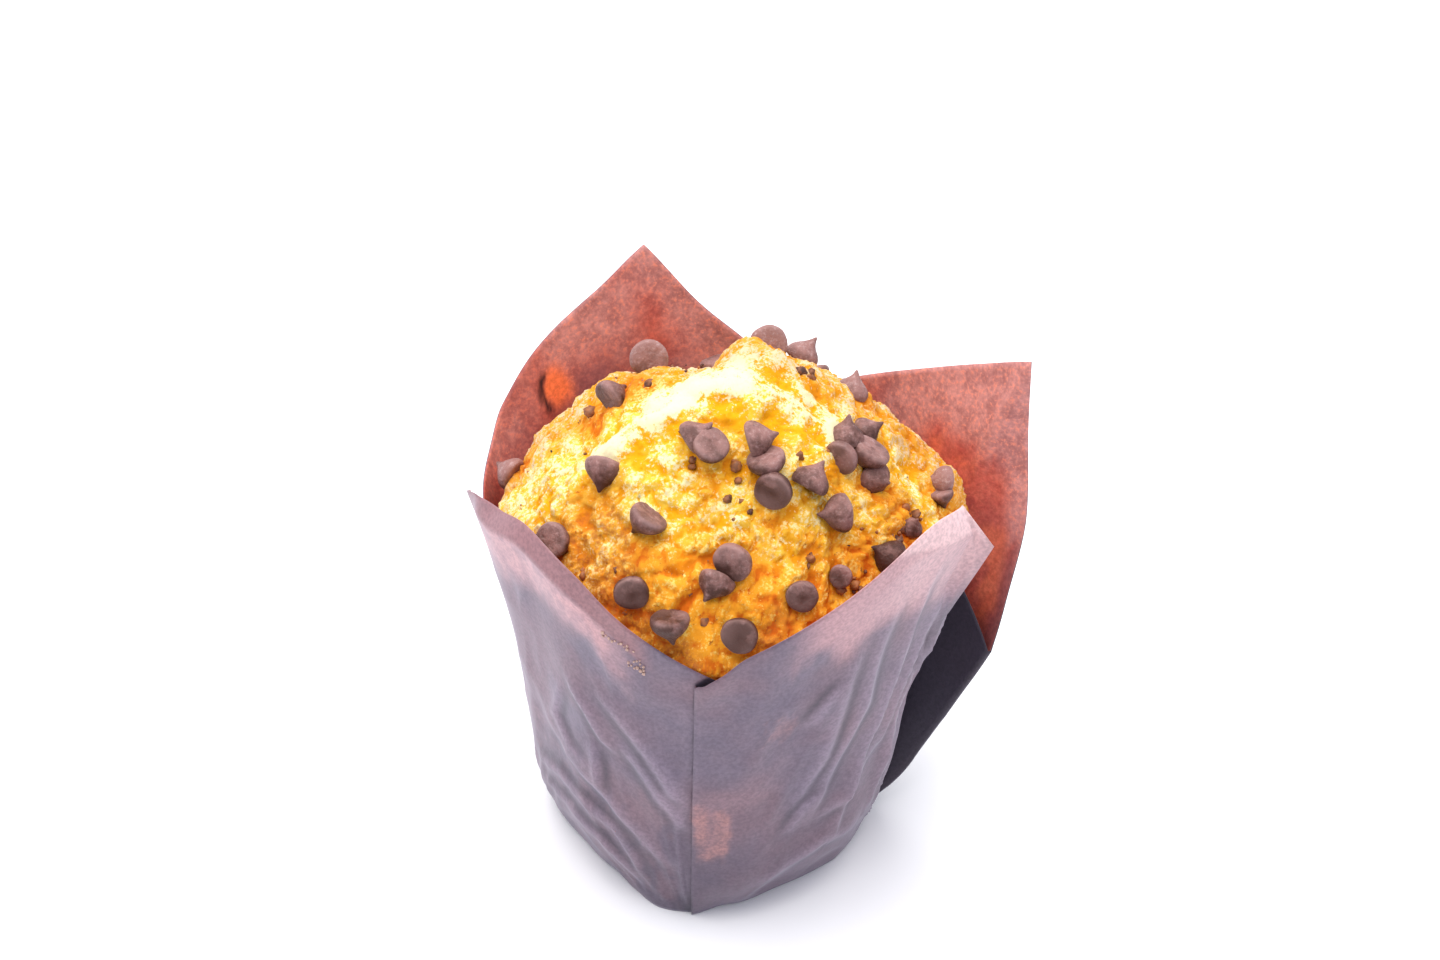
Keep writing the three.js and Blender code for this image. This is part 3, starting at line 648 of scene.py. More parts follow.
def outside_values(bearing, z):
    """Finish values from 0 to 1 for the outside, each a product of eased steps with noisy borders:
    blush near the thin top edges in front and faintly low down; tan on the bent-in band of the left
    petal; a painted highlight on the right petal's bent tip, with the petal paler towards its tip and
    a faint painted sheen on the pale sides of both front petals; low, a painted shade that darkens the
    sheet towards the foot; stain where fat shows through; and painted shade in the right fold's hollow,
    under the front pleat's corner and beside its foot."""
    b, cloud, fine, grain = clouds(bearing, z)
    crease, layer = columns[:, 4], columns[:, 6]
    on_left, on_right = b > LEFT_FOLD, b < RIGHT_FOLD
    right = smooth(12, 33, b + 5 * cloud) * smooth(55.5, 64, z + 4 * cloud + 1.5 * fine) * on_right
    left = smooth(-17, -30, b + 3 * cloud) * on_left
    left = left * smooth(-12, -4, z - crease + 3.5 * cloud + 0.5 * fine)
    bent = smooth(-0.3, 0.5, z - crease) * smooth(-14, -22, b) * on_left
    ruddy = smooth(-7, -13, b) * smooth(36, 24, z + 5 * cloud) * smooth(-0.5, 0.5, cloud + fine) * on_left
    flush = smooth(5, 1, np.abs(z - 28.5 - 0.25 * b) + 1.5 * cloud)
    flush = flush * smooth(-5.5, -4.5, b) * smooth(30, 14, b)
    # painted highlight on the bent tip, which faces up; the tip and the pale sides add a paler tone and a
    # faint painted sheen
    facet = smooth(-0.4, 0.4, z - FACET_TOP + FACET_SLOPE * np.clip(b - FACET_START, 0, 99))
    facet = facet * smooth(41, 45, b) * (b < 72)
    tip = smooth(42, 58, b + 3 * cloud) * smooth(56, 66, z + 3 * cloud) * on_right
    pale_right = smooth(30, 46, b) * smooth(12, 30, z) * on_right
    pale_left = smooth(-40, -60, b) * smooth(50, 30, z) * on_left
    ragged = 1.4 * cloud + 0.7 * fine + 0.4 * grain
    patch = smooth(-1.2, 1.4, STAIN_HALF[0] - np.abs(b - STAIN[0]) + ragged)
    patch = patch * smooth(-1.2, 1.4, STAIN_HALF[1] - np.abs(z - STAIN[1]) + ragged) * (b > -6)
    away = np.hypot((b - SMALL_STAIN[0]) * 0.5, (z - SMALL_STAIN[1]) * 0.7)
    second = smooth(0, 2, 2.4 - away + fine + grain)
    slit = (layer < 1.7) * smooth(-5.3, -4.9, b) * (b < 5)
    slit = slit * smooth(0.3, -0.1, z - SLIT_HEIGHT - SLIT_SLOPE * (b + 5))
    # painted shade at the foot beside the front seam
    seam_foot_shade = smooth(-12, -6.5, b) * (b < -4.9) * smooth(8, 1.5, z + 2 * fine)
    hollow = 0.95 * smooth(80, 84, b) * smooth(118, 100, b)
    blush = 0.75 * right + 0.95 * left * (1 - 0.75 * bent) * (0.8 + 0.3 * fine)
    # painted shade, darker towards the foot
    low = smooth(42, 0, z + 6 * cloud) * (0.75 - 0.25 * smooth(-10, 20, b))
    return {
        "blush": np.clip(blush + 0.12 * ruddy + 0.09 * flush, 0, 1),
        "tip_highlight_and_sheen": np.clip(0.68 * facet + 0.34 * tip + 0.06 * pale_right + 0.04 * pale_left, 0, 1),
        "tan": 0.85 * bent,
        # painted shade towards the foot
        "low": np.clip(low + 0.22 * ruddy * smooth(-52, -30, b), 0, 1),
        "stain": np.clip(0.75 * patch * (0.8 + 0.5 * fine) + 0.3 * second, 0, 1),
        "shade": np.maximum(hollow, np.maximum(slit, 0.6 * seam_foot_shade)),
    }


def inside_values(bearing, z):
    """Finish values from 0 to 1 for the inside, made in the same way: soak where the crumb's fat is in
    the paper; glow where it is thickest, partly painted light coming through the paper; a painted shade
    where the paper lies in its own shade, with darker blots on the soaked back; and a small painted
    shadow in a crescent beside the back left petal's bulge."""
    b, cloud, fine, _ = clouds(bearing, z)
    edge = columns[:, 2]
    on_back_left = b < -95
    rim = b - np.interp(z, FIN_EDGE[:, 1], FIN_EDGE[:, 0])  # degrees in from the fin's free edge
    back = smooth(127, 118, b + 2 * cloud) + 0.6 * smooth(134, 140, b) * (b < 165)
    back = back * smooth(2, 4.6, rim + 0.8 * cloud) * (b > 86)
    back = back * smooth(64.5, 59.5, z + 2.5 * cloud + 0.8 * fine)
    strip = smooth(5.5, 3, rim + 0.8 * cloud) * smooth(60, 46, z + 3 * cloud) * (b > 84) * (b < 120)
    back_left = 0.6 * smooth(3, 14, edge - z) + 0.6 * smooth(-138, -130, b) * on_back_left
    back_left = np.clip(back_left + 0.4 * cloud + 0.15 * fine, 0, 0.95) * (on_back_left | (b > 165))
    low_left = smooth(-162, -148, b + 5 * cloud) * smooth(-129, -137, b) * on_back_left
    low_left = low_left * smooth(65, 59, z + 4 * cloud + fine)
    front = (np.abs(b) < 95) * smooth(0.1, 0.9, (edge - z) / 6 + 0.4 * cloud)
    bulge = np.hypot((b - BULGE[0]) * PETAL_MM_PER_DEGREE / BULGE_HALF[0], (z - BULGE[1]) / BULGE_HALF[1])
    # a painted shadow in a crescent beside the bulge
    crescent = np.hypot((b - CRESCENT_SHADOW[0]) * PETAL_MM_PER_DEGREE, (z - CRESCENT_SHADOW[1]) / 1.5)
    crescent = smooth(0.7, 0.25, np.abs(crescent - 2.4))
    # the thickest fat, partly painted light coming through the paper
    glow = smooth(1.3, 0.4, bulge + 0.2 * fine) + 0.3 * back * smooth(-0.3, 0.6, fine + cloud)
    # painted shade where the paper lies in its own shade, with darker blots
    inner_shade_and_blots = 0.6 * low_left * smooth(0.9, 1.5, bulge) + 0.8 * strip + 0.3 * back * smooth(0.1, -0.5, cloud)
    return {
        "soak": np.clip(back + back_left + front, 0, 1),
        "glow": np.clip(glow, 0, 1),
        "inner_shade_and_blots": np.clip(inner_shade_and_blots, 0, 1),
        "bulge_shadow": crescent * smooth(-133.6, -132.4, b) * smooth(4, 2.6, np.abs(z - CRESCENT_SHADOW[1])),
    }


# %% Wrapper
def build_wrapper():
    """The foot's outer rings, the outer face upwards, the inner face downwards, and the foot's inner
    rings: one row of loops, each joined to the next."""
    middle, bearing, z, creased = wrapper_grid()
    rows, count = middle.shape[:2]
    half = grid_normals(middle) * PAPER / 2
    outer, inner = middle + half, middle - half
    outer[0, :, 2], inner[0, :, 2] = 0, PAPER
    shrink = 0.001 + 0.999 * np.linspace(0, 1, FOOT_RINGS + 1)[:-1, None, None]
    floor_out = outer[0] * [1, 1, 0] * shrink
    floor_in = inner[0] * [1, 1, 0] * shrink + [0, 0, PAPER]
    loops = np.concatenate([floor_out, outer, inner[::-1], floor_in[::-1]])
    total = len(loops)
    faces = np.concatenate([ring_faces(r * count, count) for r in range(total - 1)])
    inside = np.repeat(np.arange(total - 1) >= FOOT_RINGS + rows, count)
    values = {}
    for key, value in {**outside_values(bearing, z), **inside_values(bearing, z), **creased}.items():
        skirt = np.repeat(value[:1], FOOT_RINGS, axis=0)
        values[key] = np.concatenate([skirt, value, value[::-1], skirt]).ravel()
    materials = [parchment_outside(), parchment_inside()]
    piece = make_piece("tulip_wrapper", loops.reshape(-1, 3), faces, materials, inside, values)
    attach(piece, "root")
    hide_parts("wrapper")


build_wrapper()

# %% [markdown]
# ## The crumb
# The dome is a net of squares laid on a disc: square rings are bent to circles, so the net is even
# and has no pole. The plain dome is a profile between a cone and a ball; its crust then stands out
# by relief. The large relief is the solid's own. The fine relief is what a muffin's crust is: round
# grains of three sizes parted by sharp valleys, with holes and open yellow dips where the batter
# burst, and smooth where it kept its skin. Under the wrapper the crumb is a plain cup.

# %% The plain dome
GAP = 0.35  # from the paper's middle to the crumb, which it sticks to
DOME_REACH, DOME_RISE, DOME_BASE = 34.6, 33, 55.5
DOME_POWER, DOME_EASE, DOME_SHIFT = 1.25, 5, 1
SHOULDER, SHOULDER_FADE = 50, 5
LUMPS = [  # place on the plan, spread and height of the dome's larger swellings and hollows
    (1, 11, 5, 1.9),
    (-4, 8, 4, -3.1),
    (-5, 14.5, 5, -3),
    (-3, 19, 5, -1.4),
    (9, 14.5, 3.5, -1),
    (17, 15, 3, -1.3),
    (21, 10, 6, 1),
    (32, 9, 7, 1.7),
    (-19, 14, 9, 0.5),
    (-16, -4, 9, 0.7),
    (17, -19, 6, -1),
    (-9, -22, 7, 0.6),
    (-13, 29, 11, -3),
    (9, 31, 11, -3),
    (26, 21, 8, -2),
]


def dome_height(reach):
    """base + rise * (1 - e^p)^(1/p), e being the reach, rounded near the axis, over the full reach."""
    e = np.hypot(reach, DOME_EASE) / DOME_REACH
    return DOME_BASE + DOME_RISE * np.clip(1 - e**DOME_POWER, 0, None) ** (1 / DOME_POWER)


def dome_profile():
    """Even steps of length from the crown over the widest ring and down to the shoulder."""
    t = np.linspace(0, 1, 800)
    equator = np.sqrt(DOME_REACH**2 - DOME_EASE**2)
    waist = CONE_REACH + CONE_SLOPE * SHOULDER - GAP
    reach = np.concatenate([equator * np.sin(np.pi / 2 * t), equator - (equator - waist) * t[1:] ** 1.7])
    over = dome_height(reach[: len(t)])
    z = np.concatenate([over, DOME_BASE - (DOME_BASE - SHOULDER) * t[1:]])
    length = np.concatenate([[0], np.cumsum(np.hypot(np.diff(reach), np.diff(z)))])
    return length / length[-1], reach, z


PROFILE = dome_profile()


def large_relief(p):
    """The relief that the solid has too: noise 13, 6 and 3.2 mm wide, and the named lumps."""
    x, y, z = np.moveaxis(p, -1, 0)
    total = 1.1 * noise(x / 13, y / 13, z / 13) + 0.7 * noise(x / 6 + 40, y / 6, z / 6)
    total += 0.45 * noise(x / 3.2, y / 3.2 + 70, z / 3.2)
    for lx, ly, wide, height in LUMPS:
        total += height * np.exp(-((x - lx) ** 2 + (y - ly) ** 2) / wide**2)
    return total


# %% Where the chips lie
CHIP_WIDTH, CHIP_HEIGHT, CHIP_MIDDLE, CHIP_LIFT = 5.7, 4.7, 0.4, 1.1
CHIP_PROFILE = [  # reach and height for a chip 1 mm wide and 1 mm tall
    (0.0, 0.01), (0.25, 0.0), (0.38, 0.0), (0.44, 0.012), (0.475, 0.05), (0.495, 0.1), (0.5, 0.17),
    (0.488, 0.26), (0.45, 0.36), (0.385, 0.46), (0.305, 0.55), (0.22, 0.64), (0.15, 0.72), (0.1, 0.8),
    (0.068, 0.87), (0.04, 0.94), (0.0, 0.98),
]
CHIP_SIDES = 32
CHIPS = [  # x and y on the plan, the tip's bearing and its angle from straight up, size, sunk
    (-10.8, 13, -175, 120, 1, -0.6),
    (-15.4, 3.8, 140, 85, 0.9, 0),
    (-3.3, -9.5, 105, 55, 0.95, 0),
    (-2, -11.1, -130, 155, 0.95, 0),
    (-16.4, -10, -15, 120, 1, 0),
    (-10.2, -18.3, -72, 148, 1, -0.7),
    (-22.9, -15, 135, 135, 0.95, 0),
    (-11.7, -24.8, -175, 105, 0.92, -0.6),
    (-6.1, -29, 10, 162, 1, -1.7),
    (3.2, -29.7, 170, 112, 0.95, 0),
    (2.1, -22.8, 160, 105, 1, 0),
    (-0.7, -25.8, -22, 115, 0.95, 0),
    (5.6, 13.6, -165, 125, 1, 0.3),
    (10.8, 15, 125, 40, 0.9, -1.1),
    (18.1, 10.4, 145, 35, 0.9, 0),
    (5, -9.8, 97, 72, 1, 0),
    (6, -12.8, 70, 160, 1, 0),
    (7.2, -15.1, 160, 100, 1, 0),
    (12.2, -12.5, 140, 45, 1, 0),
    (15.4, -15.2, -65, 85, 1, 0),
    (16.8, -2.6, 175, 30, 0.95, 0),
    (20.4, 0.9, 95, 60, 0.8, 0),
    (16.4, -7, 155, 100, 0.9, 0),
    (19.8, -4.7, -72, 150, 1, 0),
    (21.6, -7, 40, 80, 0.9, 0),
    (11.4, -25, 180, 115, 0.82, 0),
    (16.9, -21.1, 165, 120, 0.6, 0),
    (22.9, -15.8, -100, 45, 0.9, 0),
    (27.1, -9.2, 85, 25, 0.6, 0),
    (31.1, 3.1, -80, 80, 0.85, 0),
    (31.7, 0.9, 35, 155, 0.65, 0),
    (-31.6, 9.6, -125, 85, 0.9, 0),
    (-17.5, 25.5, 60, 110, 0.95, 1.4),
    (-8.5, 29.5, -20, 130, 1, 1.2),
    (-1, 26.5, 40, 145, 0.95, 1.5),
    (6.5, 28.6, -60, 115, 1, 2.2),
    (13.5, 25.5, 20, 130, 0.95, 1.4),
    (21.5, 23, -30, 130, 1, 1.8),
]

# %% The crust's rubble
# two lines on the plan along which the dome kept its skin: the fold under the crown, and the crown
FOLD = np.array([(-17.6, -6.5), (-13, -6.2), (-9.5, -5.4), (-7.7, -4.4), (-5.9, -2.1), (1.9, -1.3)])
CROWN = np.array([(-8, -1.5), (1.5, 1), (7, 0), (14, -2.5)])
HOLLOWS = np.array([  # open yellow dips: x and y on the plan, reach
    (-1.8, -5.4, 2.6), (-0.7, -7, 1.6), (2.5, -6.7, 1.5), (5.9, -6.7, 2), (5, 1.1, 2.2), (7.9, 1.3, 2.2),
    (-7.6, 2.4, 2), (-8.1, -8.3, 1.6), (-12.6, -8.8, 2), (12.8, -6.1, 1.8), (12.5, -1.3, 1.3),
    (10.6, -1.7, 1.2), (12.5, 3.7, 2.2),
])
BAKED = np.array([  # spots of deeper orange: x and y on the plan, reach
    (12.5, 3.7, 2.6), (-15, 9, 5), (-22, 4, 3), (-18.4, 2.9, 3), (-19.2, -0.4, 2.5), (-21.6, -5.5, 3),
    (-13.4, 2.9, 2), (-10.5, 1.5, 2), (25.9, 7.9, 3), (18.4, -18.8, 2), (19.8, -16.5, 1.5),
    (-21.8, -9.9, 1.8), (-17.9, -9.1, 2), (-3.1, -16.7, 3), (5.4, -18.5, 3), (11.1, -19.4, 1.6),
    (-4.3, -21, 2.5), (-11.2, -22.1, 3), (0.2, -27.1, 3), (5.8, -27.6, 3),
])


# painted shadow round the chips
CHIP_SHADOW_REACH = 3.8  # the crust is darker this far round a chip


def near_line(x, y, line):
    """Distance on the plan to a line of places."""
    near = np.full(x.shape, np.inf)
    for a, b in zip(line[:-1], line[1:]):
        way = (b - a) / np.linalg.norm(b - a)
        s = np.clip((x - a[0]) * way[0] + (y - a[1]) * way[1], 0, np.linalg.norm(b - a))
        near = np.minimum(near, np.hypot(x - a[0] - s * way[0], y - a[1] - s * way[1]))
    return near


def near_spots(x, y, spots):
    """The sum over spots of exp(-(distance / reach)^2)."""
    return sum(np.exp(-(((x - sx) ** 2 + (y - sy) ** 2) / reach**2)) for sx, sy, reach in spots)


def crust_detail(p):
    """Fine relief in mm, and three values for the finish: how hollow, how baked, with a painted shadow
    of deeper orange round each chip laid into it, and how much skin. The relief is |noise| at three
    sizes, which gives round grains parted by sharp valleys, less where there is skin, with holes and
    dips taken out of it and the fold's roll added."""
    x, y, z = np.moveaxis(p, -1, 0)
    cloud = noise(x / 5, y / 5, z / 5 + 11)
    streak = noise(x / 2.4 + 7, y / 1.2, z / 1.6)
    fold = near_line(x + 0.8 * cloud, y + 0.9 * cloud, FOLD)
    crown = near_line(x, y + 1.5 * cloud, CROWN)
    skin = np.maximum(1.15 * np.exp(-((fold / 1.7) ** 2)), 0.9 * np.exp(-((crown / 4.2) ** 2)))
    skin = np.clip(skin * (0.85 + 0.45 * cloud + 0.35 * streak), 0, 1)
    open_ = np.clip(near_spots(x + 0.6 * streak, y + 0.6 * cloud, HOLLOWS), 0, 1)
    skin = skin * (1 - 0.9 * open_)
    rough = np.clip(1 - 0.8 * skin, 0.25, 1)
    warp = 0.8 * np.stack([noise(x / 2.1, y / 2.1, z / 2.1 + k) for k in (5, 25, 45)], -1)
    u, v, w = np.moveaxis(p + warp, -1, 0)
    large = np.abs(noise(u / 2.7, v / 2.7, w / 2.7))
    mid = np.abs(noise(u / 1.35 + 20, v / 1.35, w / 1.35))
    small = np.abs(noise(u / 0.75 + 40, v / 0.75, w / 0.75))
    hole = smooth(0.3, 0.95, pits(p + 1.6 * warp, 3.6, 3.1))
    hole = hole * smooth(0.0, 0.4, noise(x / 6, y / 6, z / 6 + 31))
    height = rough * (0.88 * large**0.8 + 0.42 * mid + 0.48 * small - 0.69) - 0.8 * rough * hole - 0.9 * open_
    height += 0.55 * np.exp(-((fold / 1.5) ** 2)) + 0.2
    hollow = 0.55 * smooth(0.3, 0.0, large) + 0.45 * smooth(0.22, 0.0, mid) + 0.7 * hole + 0.8 * open_
    low_front = smooth(75, 64, z) * smooth(-6, -21, y) * (1 - 0.35 * smooth(7, 14, np.abs(x)))
    # painted shadow of deeper orange round each chip
    chip_shadow = near_spots(x, y, [(*chip[:2], CHIP_SHADOW_REACH) for chip in CHIPS])
    bake_and_chip_shadow = 0.05 + 0.85 * low_front + 0.35 * noise(x / 8, y / 8, z / 8 + 3) + 0.45 * near_spots(x, y, BAKED)
    bake_and_chip_shadow = bake_and_chip_shadow + 0.42 * np.clip(chip_shadow, 0, 1.3) - 0.5 * skin
    return height, np.clip(hollow, 0, 1), np.clip(bake_and_chip_shadow, 0, 1), skin


# %% The crust against the paper
ROOM_STEP, ROOM_TOP = 0.5, 76  # heights of the table of free reach
NO_PAPER = 99.0


def room_table():
    """The least reach of the sheet over the columns that pass each whole degree, at each height. Past
    the sheet's edge the room grows quickly; a degree takes its neighbours' least too."""
    heights = np.arange(0, ROOM_TOP, ROOM_STEP)[:, None]
    edge = columns[:, 2]
    clipped = np.minimum(heights, edge)
    bearing, reach = sheet_reach(columns, clipped)
    over = np.clip(heights - edge, 0, None)
    reach = np.where(over > 2.5, NO_PAPER, reach + sheet_lift(bearing, clipped, edge)[0] + 0.4 * over)
    slots = np.round(bearing % 360).astype(int) % 360
    table = np.full((len(heights), 360), NO_PAPER)
    row = np.broadcast_to(np.arange(len(heights))[:, None], slots.shape)
    np.minimum.at(table, (row, slots), reach)
    return np.minimum(table, np.minimum(np.roll(table, 1, 1), np.roll(table, -1, 1)))


ROOM = room_table()


def paper_room(points):
    """The reach that the innermost paper leaves at each point: the table's four values round the point,
    each weighted by how near it is in bearing and height."""
    bearing = np.degrees(np.arctan2(points[..., 0], -points[..., 1])) % 360
    level = points[..., 2] / ROOM_STEP
    left, low = np.floor(bearing).astype(int), np.clip(level.astype(int), 0, len(ROOM) - 2)
    part, share = bearing - left, np.clip(level - low, 0, 1)
    rows = [ROOM[row, left % 360] * (1 - part) + ROOM[row, (left + 1) % 360] * part for row in (low, low + 1)]
    return rows[0] * (1 - share) + rows[1] * share


def keep_in_paper(points):
    """Draws each point in to the reach that the paper leaves it, less GAP."""
    reach = np.hypot(points[..., 0], points[..., 1])
    most = paper_room(points) - GAP
    scale = np.where(reach > most, most / np.maximum(reach, 1e-6), 1)
    return points * np.stack([scale, scale, np.ones_like(scale)], -1)


def toasted(plain, bearing):
    """From 0 to 1, how near in height a place in front is to the paper's edge, where a crust browns."""
    x, y, z = np.moveaxis(plain, -1, 0)
    order = np.argsort(columns[:, 1])
    edge = np.interp(bearing, columns[order, 1], columns[order, 2], period=360)
    over = z - edge + 1.1 * noise(x / 2, y / 2, z / 2)
    return smooth(2.2, 0.2, over) * smooth(-7, -17, y) * smooth(13, 5, x)


def crust_point(share, bearing):
    """A point of the crust from its share of the way from crown to shoulder, with its values. The
    relief stands out along the profile's normal, (rise, -run) over its length."""
    way, *profile = PROFILE
    reach, z = (np.interp(share, way, part) for part in profile)
    ahead, back = np.clip(share + 0.004, 0, 1), np.clip(share - 0.004, 0, 1)
    dr, dz = (np.interp(ahead, way, part) - np.interp(back, way, part) for part in profile)
    length = np.maximum(np.hypot(dr, dz), 1e-9)
    plain = place(bearing, reach, z)
    fade = np.clip((z - SHOULDER) / SHOULDER_FADE, 0, 1)
    detail, hollow, bake_and_chip_shadow, skin = crust_detail(plain)
    stand = (large_relief(plain) + detail) * fade
    point = place(bearing, reach - stand * dz / length, z + stand * dr / length)
    point[..., 0] += DOME_SHIFT * fade
    values = {"hollow": hollow, "bake_and_chip_shadow": bake_and_chip_shadow, "skin": skin, "toast": toasted(plain, bearing)}
    return keep_in_paper(point), values


# %% [markdown]
# ## The crumb's finish
# Three colours make a golden crust: pale cream on the skin and on flecks of it between the pores,
# clear yellow where the crumb is open, since light has gone through it there, and orange where it
# baked longest. Round each chip the orange is deeper, and that is painted shadow. It is toasted brown
# at the paper's edge in front, and darker all over behind, which is painted shade. The mesh brings
# the values for the hollows, the baking with the chips' painted shadow, the skin and the toast; the
# material breaks them up with grain too fine for the mesh, adds a few browned specks, and lets some
# light under the surface.

# %% Crumb material
def baked_crumb():
    material, tree, shader = new_material("baked crumb")
    where = object_place(tree)
    hollow, bake_and_chip_shadow, skin = reading(tree, "hollow"), reading(tree, "bake_and_chip_shadow"), reading(tree, "skin")
    blotch = noise_node(tree, where, 2.6, 4.0, 0.6)
    cell = add(tree, "ShaderNodeTexVoronoi", feature="F1", Scale=1000 / 1.5)
    tree.links.new(where, cell.inputs["Vector"])
    chosen = spread(tree, noise_node(tree, where, 3.1, 2.0, 0.5), 0.45, 0.6)
    pore = calculate(tree, "MULTIPLY", spread(tree, cell.outputs["Distance"], 0.12, 0.36, 1.0, 0.0), chosen)
    deep = weighted_sum(tree, (hollow, 1), (spread(tree, blotch, 0.38, 0.62, -0.3, 0.5), 1), (pore, 0.6))
    yellow = blend(tree, spread(tree, deep, 0.1, 1.0), (0.86, 0.54, 0.055), (0.82, 0.37, 0.005))
    orange = blend(tree, spread(tree, deep, 0.1, 1.0), (0.84, 0.33, 0.02), (0.62, 0.13, 0.006))
    colour = blend(tree, spread(tree, bake_and_chip_shadow, 0.1, 0.95), yellow, orange)
    cream = blend(tree, spread(tree, bake_and_chip_shadow, 0.1, 0.9), (0.88, 0.78, 0.45), (0.92, 0.58, 0.125))
    fleck = noise_node(tree, where, 1.3, 6.0, 0.72)
    fine = noise_node(tree, where, 0.42, 3.0, 0.6)
    mask = weighted_sum(tree, (fleck, 0.6), (fine, 0.4), (skin, 0.14), (deep, -0.09), (bake_and_chip_shadow, -0.065))
    colour = blend(tree, spread(tree, mask, 0.435, 0.525), colour, cream)
    colour = blend(tree, spread(tree, skin, 0.55, 0.95, 0.0, 0.3), colour, (0.86, 0.78, 0.57))
    speck = noise_node(tree, where, 1.5, 5.0, 0.75)
    baked = spread(tree, bake_and_chip_shadow, 0.2, 0.7, 0.0, 0.85)
    brown = calculate(tree, "MULTIPLY", spread(tree, speck, 0.62, 0.69), baked)
    colour = blend(tree, brown, colour, (0.30, 0.075, 0.015))
    burnt = calculate(tree, "MULTIPLY", reading(tree, "toast"), spread(tree, fleck, 0.35, 0.6, 0.8, 0.1))
    colour = blend(tree, burnt, colour, (0.4, 0.1, 0.025))
    # painted shade: the crust is darker all over behind
    axes = add(tree, "ShaderNodeSeparateXYZ")
    tree.links.new(where, axes.inputs["Vector"])
    painted_shade_behind = spread(tree, axes.outputs["Y"], -0.001, 0.006)
    colour = blend(tree, painted_shade_behind, colour, (0.85, 0.70, 0.75), "MULTIPLY")
    tree.links.new(colour, shader.inputs["Base Color"])
    shader.inputs["Roughness"].default_value = 0.85
    shader.inputs["Specular IOR Level"].default_value = 0.12
    shader.inputs["Subsurface Weight"].default_value = 0.06
    shader.inputs["Subsurface Radius"].default_value = (1.0, 0.55, 0.2)
    shader.inputs["Subsurface Scale"].default_value = 0.0005
    grit = noise_node(tree, where, 0.7, 6.0, 0.78)
    add_bump(tree, shader, weighted_sum(tree, (grit, 1), (pore, -0.5)), 0.65, 0.0005)
    return material


# %% Crumb
NET = 280  # squares along a side
CRUMB_FOOT = 0.4
WALL_HEIGHTS = [47, 40, 33, 26, 19, 11, 6, 2.5]
WALL_GAP, GAP_HEIGHT = 1.3, 45  # below that height the crumb stands clear of the paper's creases


def net_places():
    """Share and bearing of each net point: the larger of |a| and |b| is the share, and the other one
    over it is the eighth of a turn."""
    line = np.linspace(-1, 1, NET + 1)
    a, b = np.meshgrid(line, line, indexing="ij")
    share = np.maximum(np.abs(a), np.abs(b))
    wide = np.abs(a) >= np.abs(b)
    turn = np.where(wide, 45 * b / np.where(a == 0, 1, a), 90 - 45 * a / np.where(b == 0, 1, b))
    turn = np.where(np.where(wide, a < 0, b < 0), turn + 180, turn)
    return share, turn + 90


def build_crumb():
    """The dome's net, then rings of the net's border carried down the cup, and a fan at the foot."""
    share, bearing = net_places()
    dome, finish = crust_point(share, bearing)
    grid = np.arange((NET + 1) ** 2).reshape(NET + 1, NET + 1)
    faces = [np.stack([grid[:-1, :-1], grid[1:, :-1], grid[1:, 1:], grid[:-1, 1:]], -1).reshape(-1, 4)]
    border = np.concatenate([grid[:-1, 0], grid[-1, :-1], grid[:0:-1, -1], grid[0, :0:-1]])
    points = [dome.reshape(-1, 3)]
    turn = np.degrees(np.arctan2(points[0][border, 0], -points[0][border, 1]))
    j = np.arange(len(border))
    k = (j + 1) % len(border)
    upper, start = border, len(points[0])
    for z in [*WALL_HEIGHTS, CRUMB_FOOT]:
        turned = FOOT_TUCK * np.clip(1 - z / FOOT_ROUND, 0, 1) ** 2
        reach = CONE_REACH + CONE_SLOPE * z - turned - (GAP if z > GAP_HEIGHT else WALL_GAP)
        points.append(keep_in_paper(place(turn, np.full(turn.shape, reach), np.full(turn.shape, float(z)))))
        lower = start + j
        faces.append(np.stack([upper, lower, lower[k], upper[k]], 1))
        upper, start = lower, start + len(border)
    points.append(np.array([[0, 0, CRUMB_FOOT]], float))
    fan = np.stack([upper, np.full(len(j), start), upper[k]], 1)
    faces = np.concatenate(faces).tolist() + fan.tolist()
    points = np.concatenate(points)
    spare = np.full(len(points) - share.size, 0.5)
    values = {name: np.concatenate([value.ravel(), spare]) for name, value in finish.items()}
    piece = make_piece("crumb", points, faces, [baked_crumb()], None, values)
    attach(piece, "root")
    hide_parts("muffin")


build_crumb()

# %% [markdown]
# ## The chips
# A baking chip is a drop: a flat round base, a short wall, and sides that draw in to a soft tip. One
# profile turned about an axis gives all of them. Each has its place on the dome, the bearing and
# angle that its tip points to, its size, and how deep it sank.

# %% Seats and skins
SEAT_SHARE = 0.7  # of the large relief that a chip follows


def crust_over(x, y):
    """The crust's height over a place on the plan, and the way that it faces there: the falls of the
    plain dome over a millimetre across and a millimetre back, with one millimetre up."""
    def height(u, v):
        return dome_height(np.hypot(u - DOME_SHIFT, v))

    step = 0.5
    z = height(x, y)
    across = height(x - step, y) - height(x + step, y)
    backward = height(x, y - step) - height(x, y + step)
    out = np.stack([across, backward, np.full_like(z, 2 * step)], -1)
    out /= np.linalg.norm(out, axis=-1, keepdims=True)
    relief = large_relief(np.stack([x - DOME_SHIFT, y, z], -1))
    return np.stack([x, y, z + SEAT_SHARE * relief], -1), out


def turn_up_to(way):
    """For each direction the matrix that turns the upright axis to it by the shortest way."""
    x, y, z = way[:, 0], way[:, 1], way[:, 2]
    k = 1 / np.maximum(1 + z, 1e-6)
    rows = [[1 - k * x * x, -k * x * y, x], [-k * x * y, 1 - k * y * y, y], [-x, -y, z]]
    return np.stack([np.stack(r, -1) for r in rows], 1)


